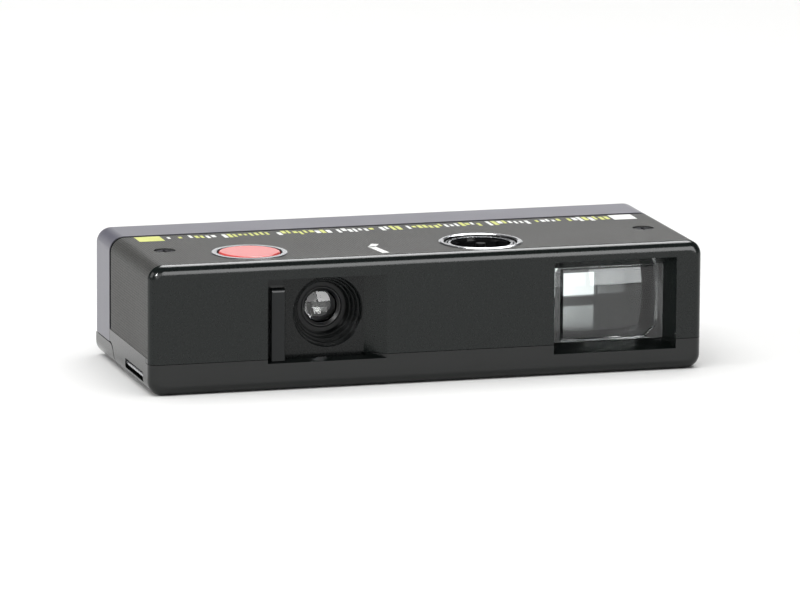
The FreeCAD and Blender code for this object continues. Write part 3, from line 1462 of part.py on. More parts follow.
def finder_lens_recess(lens_front):
    """The shallow recess in the finder lens, with sloped sides and one cut-off corner."""
    left, right = finder_left + finder_bevel, finder_right - finder_bevel
    low, high = finder_bottom + finder_bevel, finder_top - finder_bevel_top
    side, slope = finder_rim_side, finder_rim_slope
    outer = (left + side, right - side, low + finder_rim_low, high - finder_rim_low)
    inner = (outer[0] + slope, outer[1] - slope, outer[2] + slope / 2, outer[3] - slope / 2)
    sloped = funnel(outer, lens_front, inner, lens_front + finder_rim_depth)
    corner = finder_rim_corner
    outline = front_prism([(outer[0], outer[2]), (inner[1] - corner, outer[2]),
                           (inner[1], outer[2] + corner), (outer[1], outer[2] + corner),
                           (outer[1], outer[3]), (outer[0], outer[3])],
                          lens_front, lens_front + finder_rim_depth)
    return sloped.common(outline)


def tunnel_dimple():
    """A small round dimple in the right wall of the finder tunnel."""
    reach = (tunnel_dimple_y - tunnel_front_y) / (eyepiece_y - tunnel_end_wall - tunnel_front_y)
    x = tunnel_right_front + (tunnel_right_rear - tunnel_right_front) * reach
    return Part.makeSphere(tunnel_dimple_r, Vector(x, tunnel_dimple_y, tunnel_dimple_z))


def fasteners():
    """Two cover screws, the strap bar and the socket's detent spring."""
    screws = []
    for side in (-1, 1):
        x = side * screw_x
        top = body_height - screw_sink
        head = rod(screw_head_r, (x, screw_y, top - screw_head_thickness), (x, screw_y, top))
        shank = rod(screw_shank_r, (x, screw_y, ceiling_z - screw_length + screw_tip_gap),
                    (x, screw_y, top - screw_slot_depth))
        screw = fuse([head, shank])
        narrow, wide = screw_slot / 2, screw_slot_half
        for half_x, half_y in ((wide, narrow), (narrow, wide)):
            screw = screw.cut(box(x - half_x, x + half_x, screw_y - half_y, screw_y + half_y,
                                  top - screw_slot_depth, top + over))
        screws.append(screw)
    keep("cover_screws", Part.makeCompound(screws))
    keep("strap_bar", strap_bar_rod())
    right = socket_x - ratchet_r - body_gap
    leaf = box(right - detent_foot, right, socket_y - detent_width / 2,
               socket_y + detent_width / 2, floor_thickness, ratchet_z + ratchet_thickness)
    hollow = box(right - detent_foot - over, right - detent_sheet, socket_y - detent_width,
                 socket_y + detent_width, floor_thickness + detent_sheet,
                 ratchet_z + ratchet_thickness + over)
    keep("socket_detent_spring", leaf.cut(hollow))


def main():
    """Builds every piece and writes one file for each."""
    os.makedirs("parts", exist_ok=True)
    for make in (bottom_housing, front_panel, top_wrap, body_shell, rear_frame, door_latch,
                 film_door, film_window, pressure_spring, hinge_pin, film_chamber,
                 metering_pawl, lens_board, lens_cover, lens_group, shutter_blade,
                 release_lever, shutter_button, flash_socket, winding_train, finder,
                 fasteners):
        make()
    for name, shape in PARTS.items():
        solids = len(shape.Solids)
        if not shape.isValid() or solids < 1:
            print("CHECK", name, "valid", shape.isValid(), "solids", solids)
        shape.exportStep(f"parts/{name}.step")
        print(name, solids, round(shape.Volume, 2))


main()
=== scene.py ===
"""Looks of the pocket film camera: finishes, printed marks, studio and view.

Laid out as an add-on and run as a script. Lengths are in metres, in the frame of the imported
model.
"""

import math
import random

import bmesh
import bpy
from mathutils import Matrix, Vector


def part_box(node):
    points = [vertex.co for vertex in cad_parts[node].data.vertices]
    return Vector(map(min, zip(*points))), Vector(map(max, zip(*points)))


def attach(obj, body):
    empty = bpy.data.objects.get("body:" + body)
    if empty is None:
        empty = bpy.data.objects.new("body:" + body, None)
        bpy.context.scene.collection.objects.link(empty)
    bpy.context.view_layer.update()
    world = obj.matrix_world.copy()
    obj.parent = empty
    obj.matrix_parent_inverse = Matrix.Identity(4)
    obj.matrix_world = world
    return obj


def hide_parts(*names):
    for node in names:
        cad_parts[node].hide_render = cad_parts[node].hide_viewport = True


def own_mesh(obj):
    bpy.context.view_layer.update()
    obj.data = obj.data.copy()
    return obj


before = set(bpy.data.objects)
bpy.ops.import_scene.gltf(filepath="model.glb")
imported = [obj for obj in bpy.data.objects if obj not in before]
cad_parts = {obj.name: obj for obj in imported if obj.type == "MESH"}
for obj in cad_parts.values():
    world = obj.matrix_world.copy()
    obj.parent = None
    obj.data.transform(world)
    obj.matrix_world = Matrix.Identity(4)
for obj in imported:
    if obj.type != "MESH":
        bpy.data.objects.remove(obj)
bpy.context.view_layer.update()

bl_info = {
    "name": "Pocket film camera looks",
    "version": (1, 0, 0),
    "blender": (4, 5, 0),
    "location": "3D View > Sidebar > Camera look",
    "description": "Finishes, printed marks, studio and view of a pocket film camera",
    "category": "Object",
}

MM = 0.001
TOP_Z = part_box("top_wrap")[1].z  # metres, the upper face of the top cover
NATURAL_ACETAL = "E4E0D2"
SILVER_FOIL = "C4C5C8"


def linear(code):
    """A hex colour code as linear red, green, blue and alpha."""
    parts = [int(code[i:i + 2], 16) / 255 for i in (0, 2, 4)]
    return tuple(c / 12.92 if c <= 0.04045 else ((c + 0.055) / 1.055) ** 2.4
                 for c in parts) + (1.0,)


def per_metre(size_mm):
    """The pattern scale that gives one repeat for this many millimetres."""
    return 1.0 / (size_mm * MM)


class FinishSettings(bpy.types.PropertyGroup):
    """Colours of the visible mouldings, metal and print."""

    front_colour: bpy.props.FloatVectorProperty(
        name="Front moulding", description="Black of the front panel and the bottom housing",
        subtype="COLOR", size=4, min=0.0, max=1.0, default=linear("131817"))
    cover_colour: bpy.props.FloatVectorProperty(
        name="Top cover", description="Paint of the grained metal cover",
        subtype="COLOR", size=4, min=0.0, max=1.0, default=linear("3C3C3A"))
    rear_colour: bpy.props.FloatVectorProperty(
        name="Rear frame", description="Grey of the band round the back",
        subtype="COLOR", size=4, min=0.0, max=1.0, default=linear("5E5D68"))
    button_colour: bpy.props.FloatVectorProperty(
        name="Shutter button", description="Orange red of the shutter button",
        subtype="COLOR", size=4, min=0.0, max=1.0, default=linear("DC4B47"))
    print_white: bpy.props.FloatVectorProperty(
        name="White ink", description="White of the printed marks",
        subtype="COLOR", size=4, min=0.0, max=1.0, default=linear("F4F5F2"))
    print_yellow: bpy.props.FloatVectorProperty(
        name="Yellow ink", description="Yellow green of the printed block",
        subtype="COLOR", size=4, min=0.0, max=1.0, default=linear("D3D774"))


class PrintSettings(bpy.types.PropertyGroup):
    """Places and sizes of the print on the top cover."""

    thickness: bpy.props.FloatProperty(
        name="Ink thickness", description="How far the ink stands above the cover",
        unit="LENGTH", default=0.03 * MM)
    rear_edge: bpy.props.FloatProperty(
        name="Rear edge", description="Depth of the label line's rear edge",
        unit="LENGTH", default=9.3 * MM)
    block_depth: bpy.props.FloatProperty(
        name="Block depth", description="Front to back size of the blocks at both ends",
        unit="LENGTH", default=5.0 * MM)
    left_start: bpy.props.FloatProperty(
        name="Left block start", description="Left end of the yellow block",
        unit="LENGTH", default=-53.3 * MM)
    left_end: bpy.props.FloatProperty(
        name="Left block end", description="Right end of the yellow block",
        unit="LENGTH", default=-48.0 * MM)
    right_start: bpy.props.FloatProperty(
        name="Right block start", description="Left end of the white block",
        unit="LENGTH", default=47.7 * MM)
    right_end: bpy.props.FloatProperty(
        name="Right block end", description="Right end of the white block",
        unit="LENGTH", default=52.6 * MM)
    tick_pitch: bpy.props.FloatProperty(
        name="Tick spacing", description="Distance between the ticks of the label line",
        unit="LENGTH", default=1.15 * MM)
    mark_width: bpy.props.FloatProperty(
        name="Pointer width", description="Stroke width of the pointer mark",
        unit="LENGTH", default=1.5 * MM)
    mark_tip: bpy.props.FloatVectorProperty(
        name="Pointer tip", description="Rear end of the pointer's short stroke",
        subtype="TRANSLATION", size=2, default=(-7.9 * MM, -9.9 * MM))
    mark_bend: bpy.props.FloatVectorProperty(
        name="Pointer bend", description="Where the pointer's two strokes meet",
        subtype="TRANSLATION", size=2, default=(-9.2 * MM, -12.3 * MM))
    mark_foot: bpy.props.FloatVectorProperty(
        name="Pointer foot", description="Front end of the pointer's long stroke",
        subtype="TRANSLATION", size=2, default=(-8.2 * MM, -18.8 * MM))


class OpticsSettings(bpy.types.PropertyGroup):
    """Ground faces of the front lens, and the bright trim of the button and flash socket."""

    front_radius: bpy.props.FloatProperty(
        name="Front radius", description="Radius of the front lens's outer face",
        unit="LENGTH", default=9.0 * MM)
    rear_radius: bpy.props.FloatProperty(
        name="Rear radius", description="Radius of the front lens's inner face",
        unit="LENGTH", default=8.0 * MM)
    seat_gap: bpy.props.FloatProperty(
        name="Seat gap", description="Gap between the front lens and the stop",
        unit="LENGTH", default=0.05 * MM)
    ring_outer: bpy.props.FloatProperty(
        name="Ring outer radius", description="Outer radius of the ring on the socket's rim",
        unit="LENGTH", default=7.15 * MM)
    ring_inner: bpy.props.FloatProperty(
        name="Ring inner radius", description="Inner radius of the ring on the socket's rim",
        unit="LENGTH", default=6.15 * MM)
    ring_thickness: bpy.props.FloatProperty(
        name="Ring thickness", description="Thickness of the ring on the socket's rim",
        unit="LENGTH", default=0.05 * MM)
    foil_depth: bpy.props.FloatProperty(
        name="Foil depth", description="How far the foil runs down the collar and the bezel",
        unit="LENGTH", default=0.15 * MM)


class SeamSettings(bpy.types.PropertyGroup):
    """The black strip, called felt, in the groove between the cover and the rear frame: painted
    shade that makes the groove read as dark as its shadow.
    """

    # The felt strip sized below is painted shade: a matt black sheet where the groove lies in
    # shadow.
    width: bpy.props.FloatProperty(
        name="Strip width", description="Width of the felt strip",
        unit="LENGTH", default=1.2 * MM)
    side_gap: bpy.props.FloatProperty(
        name="Side gap", description="Gap between the strip and the groove's walls",
        unit="LENGTH", default=0.05 * MM)
    depth: bpy.props.FloatProperty(
        name="Strip depth", description="How far the strip lies below the cover's surface",
        unit="LENGTH", default=0.12 * MM)
    thickness: bpy.props.FloatProperty(
        name="Strip thickness", description="Thickness of the felt",
        unit="LENGTH", default=0.4 * MM)
    bend_radius: bpy.props.FloatProperty(
        name="Bend radius", description="Radius of the cover at its two long bends",
        unit="LENGTH", default=3.0 * MM)


class StudioSettings(bpy.types.PropertyGroup):
    """Light and floor of the plain studio."""

    floor_colour: bpy.props.FloatVectorProperty(
        name="Floor", description="Colour of the pale floor",
        subtype="COLOR", size=4, min=0.0, max=1.0, default=linear("FAFAF9"))
    floor_reach: bpy.props.FloatProperty(
        name="Floor reach", description="Distance from the camera to each edge of the floor",
        unit="LENGTH", default=6.0, min=1.0)
    sky_strength: bpy.props.FloatProperty(
        name="Horizon brightness", description="Brightness of the room at the horizon",
        default=1.0, min=0.0)
    ceiling_strength: bpy.props.FloatProperty(
        name="Ceiling brightness", description="Brightness of the room overhead",
        default=0.12, min=0.0)
    front_share: bpy.props.FloatProperty(
        name="Front share", description="Horizon brightness in front as a share of that behind",
        subtype="FACTOR", default=0.4, min=0.0, max=1.0)
    key_energy: bpy.props.FloatProperty(
        name="Overhead light", description="Power of the large soft light overhead",
        unit="POWER", default=41.0, min=0.0)
    right_radiance: bpy.props.FloatProperty(
        name="Right softbox", description="Brightness of the softbox at the front right",
        default=9.0, min=0.0)
    left_radiance: bpy.props.FloatProperty(
        name="Left softbox", description="Brightness of the dimmer softbox at the front left",
        default=3.0, min=0.0)
    corner_radiance: bpy.props.FloatProperty(
        name="Corner lamp", description="Brightness of the small lamp at the far left",
        default=150.0, min=0.0)
    rear_radiance: bpy.props.FloatProperty(
        name="Rear softbox", description="Brightness of the high softbox behind",
        default=12.0, min=0.0)
    strip_radiance: bpy.props.FloatProperty(
        name="Rear strip", description="Brightness of the low strip light behind",
        default=1.0, min=0.0)
    side_energy: bpy.props.FloatProperty(
        name="Side light", description="Power of the soft light at the left",
        unit="POWER", default=5.0, min=0.0)


class ViewSettings(bpy.types.PropertyGroup):
    """Where the photograph was taken from."""

    yaw: bpy.props.FloatProperty(
        name="Turn", description="How far the view turns to the right",
        subtype="ANGLE", default=math.radians(16.198))
    drop: bpy.props.FloatProperty(
        name="Tilt", description="How far the view looks down",
        subtype="ANGLE", default=math.radians(11.15))
    roll: bpy.props.FloatProperty(
        name="Roll", description="How far the horizon leans",
        subtype="ANGLE", default=math.radians(0.370))
    distance: bpy.props.FloatProperty(
        name="Distance", description="Distance from the camera to the point it looks at",
        unit="LENGTH", default=1433.15 * MM)
    side_offset: bpy.props.FloatProperty(
        name="Side offset", description="Sideways offset of the point looked at",
        unit="LENGTH", default=0.393 * MM)
    height_offset: bpy.props.FloatProperty(
        name="Height offset", description="Upward offset of the point looked at",
        unit="LENGTH", default=12.512 * MM)
    focal_length: bpy.props.FloatProperty(
        name="Focal length", description="Focal length for a 36 mm wide sensor",
        default=315.0)


SETTINGS = (
    ("look_finish", FinishSettings),
    ("look_print", PrintSettings),
    ("look_optics", OpticsSettings),
    ("look_seam", SeamSettings),
    ("look_studio", StudioSettings),
    ("look_view", ViewSettings),
)


def add_node(tree, kind, inputs=None, **settings):
    """Adds one node, sets its options, and sets or links its inputs."""
    node = tree.nodes.new(kind)
    for name, value in settings.items():
        setattr(node, name, value)
    for name, value in (inputs or {}).items():
        socket = node.inputs[name]
        if isinstance(value, bpy.types.NodeSocket):
            tree.links.new(value, socket)
        else:
            socket.default_value = value
    return node


def new_material(name):
    """An empty node material, its tree, and the piece's own coordinates."""
    material = bpy.data.materials.new(name)
    material.use_nodes = True
    tree = material.node_tree
    tree.nodes.clear()
    place = add_node(tree, "ShaderNodeTexCoord").outputs["Object"]
    return material, tree, place


def scaled(colour, share):
    """A colour made darker or lighter."""
    return tuple(min(1.0, c * share) for c in colour[:3]) + (1.0,)


def moulded_abs(name, colour, roughness, grain_mm, depth_mm, specular=0.5):
    """ABS from a spark-eroded mould: an even fine grain that breaks the gloss, with a random pale
    and dark mottle. The real grain is about 0.1 mm; it is drawn coarser here so that it shows."""
    material, tree, place = new_material(name)
    fine = add_node(tree, "ShaderNodeTexNoise", {
        "Vector": place, "Scale": per_metre(grain_mm), "Detail": 3.0, "Roughness": 0.6})
    cloud = add_node(tree, "ShaderNodeTexNoise", {
        "Vector": place, "Scale": per_metre(14.0), "Detail": 2.0})
    mottle = add_node(tree, "ShaderNodeMix", {
        0: fine.outputs["Fac"], 6: scaled(colour, 0.82), 7: scaled(colour, 1.2)},
        data_type="RGBA")
    sheen = add_node(tree, "ShaderNodeMapRange", {
        "Value": cloud.outputs["Fac"], "To Min": roughness * 0.9, "To Max": roughness * 1.12})
    bump = add_node(tree, "ShaderNodeBump", {
        "Height": fine.outputs["Fac"], "Distance": depth_mm * MM, "Strength": 0.6})
    surface = add_node(tree, "ShaderNodeBsdfPrincipled", {
        "Base Color": mottle.outputs[2], "Roughness": sheen.outputs["Result"], "IOR": 1.53,
        "Specular IOR Level": specular, "Normal": bump.outputs["Normal"]})
    add_node(tree, "ShaderNodeOutputMaterial", {"Surface": surface.outputs["BSDF"]})
    return material


def grained_cover_paint(name, colour):
    """Aluminium sheet with a baked black paint over a rolled diamond grain. Two sets of fine
    slanting ridges, a millimetre apart, run on round the bends; the paint has a dull sheen."""
    material, tree, place = new_material(name)
    axes = add_node(tree, "ShaderNodeSeparateXYZ", {"Vector": place})
    along = add_node(tree, "ShaderNodeMath", {0: axes.outputs["X"], 1: axes.outputs["Z"]},
                     operation="ADD")
    ridges = []
    for operation in ("ADD", "SUBTRACT"):
        line = add_node(tree, "ShaderNodeMath", {0: along.outputs[0], 1: axes.outputs["Y"]},
                        operation=operation)
        turns = add_node(tree, "ShaderNodeMath", {0: line.outputs[0],
                                                  1: math.tau * per_metre(1.1)},
                         operation="MULTIPLY")
        ridges.append(add_node(tree, "ShaderNodeMath", {0: turns.outputs[0]},
                               operation="SINE"))
    diamond = add_node(tree, "ShaderNodeMath", {0: ridges[0].outputs[0],
                                                1: ridges[1].outputs[0]},
                       operation="MULTIPLY")
    speck = add_node(tree, "ShaderNodeTexNoise", {
        "Vector": place, "Scale": per_metre(0.7), "Detail": 4.0, "Roughness": 0.75})
    height = add_node(tree, "ShaderNodeMath", {0: diamond.outputs[0], 1: 0.35,
                                               2: speck.outputs["Fac"]},
                      operation="MULTIPLY_ADD")
    cloud = add_node(tree, "ShaderNodeTexNoise", {
        "Vector": place, "Scale": per_metre(22.0), "Detail": 2.0})
    sheen = add_node(tree, "ShaderNodeMapRange", {
        "Value": cloud.outputs["Fac"], "To Min": 0.4, "To Max": 0.5})
    tint = add_node(tree, "ShaderNodeMix", {
        0: height.outputs[0], 6: scaled(colour, 0.1), 7: scaled(colour, 1.9)},
        data_type="RGBA")
    bump = add_node(tree, "ShaderNodeBump", {
        "Height": height.outputs[0], "Distance": 0.1 * MM, "Strength": 0.8})
    surface = add_node(tree, "ShaderNodeBsdfPrincipled", {
        "Base Color": tint.outputs[2], "Roughness": sheen.outputs["Result"], "IOR": 1.5,
        "Specular IOR Level": 0.22, "Normal": bump.outputs["Normal"]})
    add_node(tree, "ShaderNodeOutputMaterial", {"Surface": surface.outputs["BSDF"]})
    return material


def polished_plastic(name, colour, roughness, wave_mm=6.0, specular=0.5):
    """ABS from a polished mould: a deep gloss with faint long waves and hairline rubs."""
    material, tree, place = new_material(name)
    wave = add_node(tree, "ShaderNodeTexNoise", {
        "Vector": place, "Scale": per_metre(wave_mm), "Detail": 2.0})
    stretch = add_node(tree, "ShaderNodeMapping", {"Vector": place, "Scale": (1.0, 9.0, 1.0)})
    rubs = add_node(tree, "ShaderNodeTexNoise", {
        "Vector": stretch.outputs["Vector"], "Scale": per_metre(2.0), "Detail": 4.0})
    tint = add_node(tree, "ShaderNodeMix", {
        0: wave.outputs["Fac"], 6: scaled(colour, 0.92), 7: scaled(colour, 1.06)},
        data_type="RGBA")
    sheen = add_node(tree, "ShaderNodeMapRange", {
        "Value": rubs.outputs["Fac"], "To Min": roughness * 0.8, "To Max": roughness * 1.3})
    bump = add_node(tree, "ShaderNodeBump", {
        "Height": wave.outputs["Fac"], "Distance": 0.02 * MM, "Strength": 0.3})
    surface = add_node(tree, "ShaderNodeBsdfPrincipled", {
        "Base Color": tint.outputs[2], "Roughness": sheen.outputs["Result"], "IOR": 1.5,
        "Specular IOR Level": specular, "Normal": bump.outputs["Normal"]})
    add_node(tree, "ShaderNodeOutputMaterial", {"Surface": surface.outputs["BSDF"]})
    return material


def foil_stamped_abs(name, foil, edge_z):
    """Black ABS from a polished mould with silver foil hot-stamped on its top: bright above the
    height edge_z, deep glossy black below it."""
    material, tree, place = new_material(name)
    axes = add_node(tree, "ShaderNodeSeparateXYZ", {"Vector": place})
    stamped = add_node(tree, "ShaderNodeMapRange", {
        "Value": axes.outputs["Z"], "From Min": edge_z - 0.02 * MM, "From Max": edge_z})
    press = add_node(tree, "ShaderNodeTexNoise", {
        "Vector": place, "Scale": per_metre(1.2), "Detail": 3.0})
    silver = add_node(tree, "ShaderNodeMix", {
        0: press.outputs["Fac"], 6: scaled(foil, 0.85), 7: scaled(foil, 1.1)}, data_type="RGBA")
    tint = add_node(tree, "ShaderNodeMix", {
        0: stamped.outputs["Result"], 6: linear("121314"), 7: silver.outputs[2]},
        data_type="RGBA")
    sheen = add_node(tree, "ShaderNodeMapRange", {
        "Value": press.outputs["Fac"], "To Min": 0.16, "To Max": 0.3})
    bump = add_node(tree, "ShaderNodeBump", {
        "Height": press.outputs["Fac"], "Distance": 0.01 * MM, "Strength": 0.3})
    surface = add_node(tree, "ShaderNodeBsdfPrincipled", {
        "Base Color": tint.outputs[2], "Metallic": stamped.outputs["Result"],
        "Roughness": sheen.outputs["Result"], "Normal": bump.outputs["Normal"]})
    add_node(tree, "ShaderNodeOutputMaterial", {"Surface": surface.outputs["BSDF"]})
    return material


def drawn_metal(name, colour, roughness):
    """Drawn, rolled or ground metal: fine lines along the work and a soft bright sheen. The lines
    are about 0.02 mm on the real thing and are drawn coarser so that they show."""
    material, tree, place = new_material(name)
    stretch = add_node(tree, "ShaderNodeMapping", {"Vector": place, "Scale": (1.0, 1.0, 12.0)})
    lines = add_node(tree, "ShaderNodeTexNoise", {
        "Vector": stretch.outputs["Vector"], "Scale": per_metre(0.8), "Detail": 3.0})
    tint = add_node(tree, "ShaderNodeMix", {
        0: lines.outputs["Fac"], 6: scaled(colour, 0.85), 7: scaled(colour, 1.1)},
        data_type="RGBA")
    sheen = add_node(tree, "ShaderNodeMapRange", {
        "Value": lines.outputs["Fac"], "To Min": roughness * 0.8, "To Max": roughness * 1.3})
    bump = add_node(tree, "ShaderNodeBump", {
        "Height": lines.outputs["Fac"], "Distance": 0.01 * MM, "Strength": 0.4})
    surface = add_node(tree, "ShaderNodeBsdfPrincipled", {
        "Base Color": tint.outputs[2], "Metallic": 1.0,
        "Roughness": sheen.outputs["Result"], "Normal": bump.outputs["Normal"]})
    add_node(tree, "ShaderNodeOutputMaterial", {"Surface": surface.outputs["BSDF"]})
    return material


def clear_acrylic(name, tint, roughness=0.03):
    """Cast clear acrylic, polished: sharp reflections, hardly any colour, faint dust specks."""
    material, tree, place = new_material(name)
    dust = add_node(tree, "ShaderNodeTexNoise", {
        "Vector": place, "Scale": per_metre(0.35), "Detail": 5.0, "Roughness": 0.8})
    specks = add_node(tree, "ShaderNodeMapRange", {
        "Value": dust.outputs["Fac"], "From Min": 0.72, "From Max": 0.8})
    tone = add_node(tree, "ShaderNodeMix", {
        0: specks.outputs["Result"], 6: tint, 7: scaled(tint, 0.8)}, data_type="RGBA")
    sheen = add_node(tree, "ShaderNodeMapRange", {
        "Value": specks.outputs["Result"], "To Min": roughness, "To Max": 0.25})
    surface = add_node(tree, "ShaderNodeBsdfPrincipled", {
        "Base Color": tone.outputs[2], "Roughness": sheen.outputs["Result"], "IOR": 1.49,
        "Transmission Weight": 1.0})
    add_node(tree, "ShaderNodeOutputMaterial", {"Surface": surface.outputs["BSDF"]})
    return material


def coated_lens_glass(name, tint, coat):
    """Ground and polished optical glass with one anti-reflection coating: clear, with a faint
    cold tint that grows towards the rim."""
    material, tree, place = new_material(name)
    rim = add_node(tree, "ShaderNodeLayerWeight", {"Blend": 0.35})
    tone = add_node(tree, "ShaderNodeMix", {0: rim.outputs["Facing"], 6: tint, 7: coat},
                    data_type="RGBA")
    haze = add_node(tree, "ShaderNodeTexNoise", {
        "Vector": place, "Scale": per_metre(3.0), "Detail": 1.0})
    sheen = add_node(tree, "ShaderNodeMapRange", {
        "Value": haze.outputs["Fac"], "To Min": 0.01, "To Max": 0.03})
    surface = add_node(tree, "ShaderNodeBsdfPrincipled", {
        "Base Color": tone.outputs[2], "Roughness": sheen.outputs["Result"], "IOR": 1.52,
        "Specular IOR Level": 1.0, "Transmission Weight": 1.0})
    add_node(tree, "ShaderNodeOutputMaterial", {"Surface": surface.outputs["BSDF"]})
    return material


def screen_ink(name, colour):
    """Screen-printed ink on paint: a flat, slightly chalky film with worn pinholes."""
    material, tree, place = new_material(name)
    pinholes = add_node(tree, "ShaderNodeTexNoise", {
        "Vector": place, "Scale": per_metre(0.4), "Detail": 4.0, "Roughness": 0.7})
    wear = add_node(tree, "ShaderNodeMapRange", {
        "Value": pinholes.outputs["Fac"], "To Min": 0.55, "To Max": 1.2})
    tint = add_node(tree, "ShaderNodeMix", {
        0: wear.outputs["Result"], 6: scaled(colour, 0.6), 7: colour}, data_type="RGBA")
    sheen = add_node(tree, "ShaderNodeMapRange", {
        "Value": pinholes.outputs["Fac"], "To Min": 0.4, "To Max": 0.6})
    bump = add_node(tree, "ShaderNodeBump", {
        "Height": pinholes.outputs["Fac"], "Distance": 0.01 * MM, "Strength": 0.4})
    surface = add_node(tree, "ShaderNodeBsdfPrincipled", {
        "Base Color": tint.outputs[2], "Roughness": sheen.outputs["Result"], "IOR": 1.48,
        "Normal": bump.outputs["Normal"]})
    add_node(tree, "ShaderNodeOutputMaterial", {"Surface": surface.outputs["BSDF"]})
    return material


def painted_shade_sheet(name, colour):
    """Painted shade: a near-black matt sheet, called felt, with fine fibre-like noise. It is laid
    where a groove lies in shadow so that the groove reads dark.
    """
    material, tree, place = new_material(name)
    fibres = add_node(tree, "ShaderNodeTexNoise", {
        "Vector": place, "Scale": per_metre(0.3), "Detail": 5.0, "Roughness": 0.8})
    tint = add_node(tree, "ShaderNodeMix", {
        0: fibres.outputs["Fac"], 6: scaled(colour, 0.5), 7: scaled(colour, 1.6)},
        data_type="RGBA")
    bump = add_node(tree, "ShaderNodeBump", {
        "Height": fibres.outputs["Fac"], "Distance": 0.1 * MM, "Strength": 0.8})
    surface = add_node(tree, "ShaderNodeBsdfPrincipled", {
        "Base Color": tint.outputs[2], "Roughness": 0.95, "Specular IOR Level": 0.03,
        "Normal": bump.outputs["Normal"]})
    add_node(tree, "ShaderNodeOutputMaterial", {"Surface": surface.outputs["BSDF"]})
    return material


def seamless_paper(name, colour):
    """Seamless background paper: matt, with a very faint mottle."""
    material, tree, place = new_material(name)
    mottle = add_node(tree, "ShaderNodeTexNoise", {
        "Vector": place, "Scale": per_metre(40.0), "Detail": 3.0})
    tint = add_node(tree, "ShaderNodeMix", {
        0: mottle.outputs["Fac"], 6: scaled(colour, 0.985), 7: colour}, data_type="RGBA")
    surface = add_node(tree, "ShaderNodeBsdfPrincipled", {
        "Base Color": tint.outputs[2], "Roughness": 0.9, "Specular IOR Level": 0.1})
    add_node(tree, "ShaderNodeOutputMaterial", {"Surface": surface.outputs["BSDF"]})
    return material


def dress(node, material):
    """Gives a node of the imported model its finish."""
    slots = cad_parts[node].material_slots
    if not slots:
        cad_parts[node].data.materials.append(material)
    for slot in slots:
        slot.material = material


def new_piece(name, mesh_tool, material, body):
    """Turns a bmesh into a finished piece that rides on a body."""
    bmesh.ops.remove_doubles(mesh_tool, verts=mesh_tool.verts, dist=1e-7)
    bmesh.ops.recalc_face_normals(mesh_tool, faces=mesh_tool.faces)
    mesh = bpy.data.meshes.new(name)
    mesh_tool.to_mesh(mesh)
    mesh_tool.free()
    mesh.materials.append(material)
    piece = bpy.data.objects.new(name, mesh)
    bpy.context.scene.collection.objects.link(piece)
    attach(piece, body)
    return piece


def add_block(mesh_tool, low, high):
    """Adds a block between two corners to a bmesh."""
    low, high = Vector(low), Vector(high)
    size = high - low
    place = Matrix.Translation((low + high) / 2) @ Matrix.Diagonal((*size, 1.0))
    bmesh.ops.create_cube(mesh_tool, size=1.0, matrix=place)


class LOOK_OT_front_mouldings(bpy.types.Operator):
    """Finishes the front panel, bottom housing and film door in grained black ABS"""
    bl_idname = "camera_look.front_mouldings"
    bl_label = "Front mouldings"

    def execute(self, context):
        colour = context.scene.look_finish.front_colour
        dress("front_panel", moulded_abs(
            "ABS_spark_moulded_black", colour, roughness=0.17, grain_mm=0.4, depth_mm=0.005,
            specular=0.26))
        black = moulded_abs("ABS_gloss_moulded_black", scaled(colour, 0.5), roughness=0.16,
                            grain_mm=0.4, depth_mm=0.004, specular=0.38)
        for node in ("bottom_housing", "film_door"):
            dress(node, black)
        return {"FINISHED"}


class LOOK_OT_top_cover(bpy.types.Operator):
    """Finishes the pressed metal cover in grained black paint"""
    bl_idname = "camera_look.top_cover"
    bl_label = "Top cover"

    def execute(self, context):
        dress("top_wrap", grained_cover_paint("Aluminium_grained_black_paint",
                                              context.scene.look_finish.cover_colour))
        return {"FINISHED"}


class LOOK_OT_rear_frame(bpy.types.Operator):
    """Finishes the rear frame in smooth grey ABS and its latch in glossy black"""
    bl_idname = "camera_look.rear_frame"
    bl_label = "Rear frame and latch"

    def execute(self, context):
        dress("rear_frame", moulded_abs(
            "ABS_smooth_moulded_grey", context.scene.look_finish.rear_colour, roughness=0.3,
            grain_mm=0.5, depth_mm=0.006))
        dress("door_latch", polished_plastic(
            "ABS_polished_black_latch", linear("141416"), roughness=0.22))
        # The strip in the groove is painted shade: a matt black sheet where the groove lies in
        # shadow.
        self.lay_painted_shade_strip(context.scene.look_seam)
        return {"FINISHED"}

    def lay_painted_shade_strip(self, sizes):
        """Lays a black strip, called felt, in the groove between cover and rear frame: painted
        shade for the groove's dark shadow line.
        """
        low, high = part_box("top_wrap")
        front = high.y + sizes.side_gap
        back = front + sizes.width
        strip = bmesh.new()
        add_block(strip, (low.x + sizes.depth, front, low.z), (high.x - sizes.depth, back,
                                                               high.z - sizes.depth))
        bends = [edge for edge in strip.edges
                 if all(vert.co.z > high.z - 2 * sizes.depth for vert in edge.verts)
                 and abs(edge.verts[0].co.y - edge.verts[1].co.y) > sizes.width / 2]
        bmesh.ops.bevel(strip, geom=bends, offset=sizes.bend_radius - sizes.depth, segments=8,
                        profile=0.5, affect="EDGES", material=-1)
        bmesh.ops.recalc_face_normals(strip, faces=strip.faces[:])
        bmesh.ops.delete(strip, context="FACES_ONLY", geom=[
            face for face in strip.faces if abs(face.normal.y) > 0.9 or face.normal.z < -0.9])
        bmesh.ops.solidify(strip, geom=strip.faces[:], thickness=sizes.thickness)
        new_piece("seam_painted_shade_strip", strip, painted_shade_sheet("Painted_shade_black_sheet", linear("0B0B0B")),
                  "camera_body")


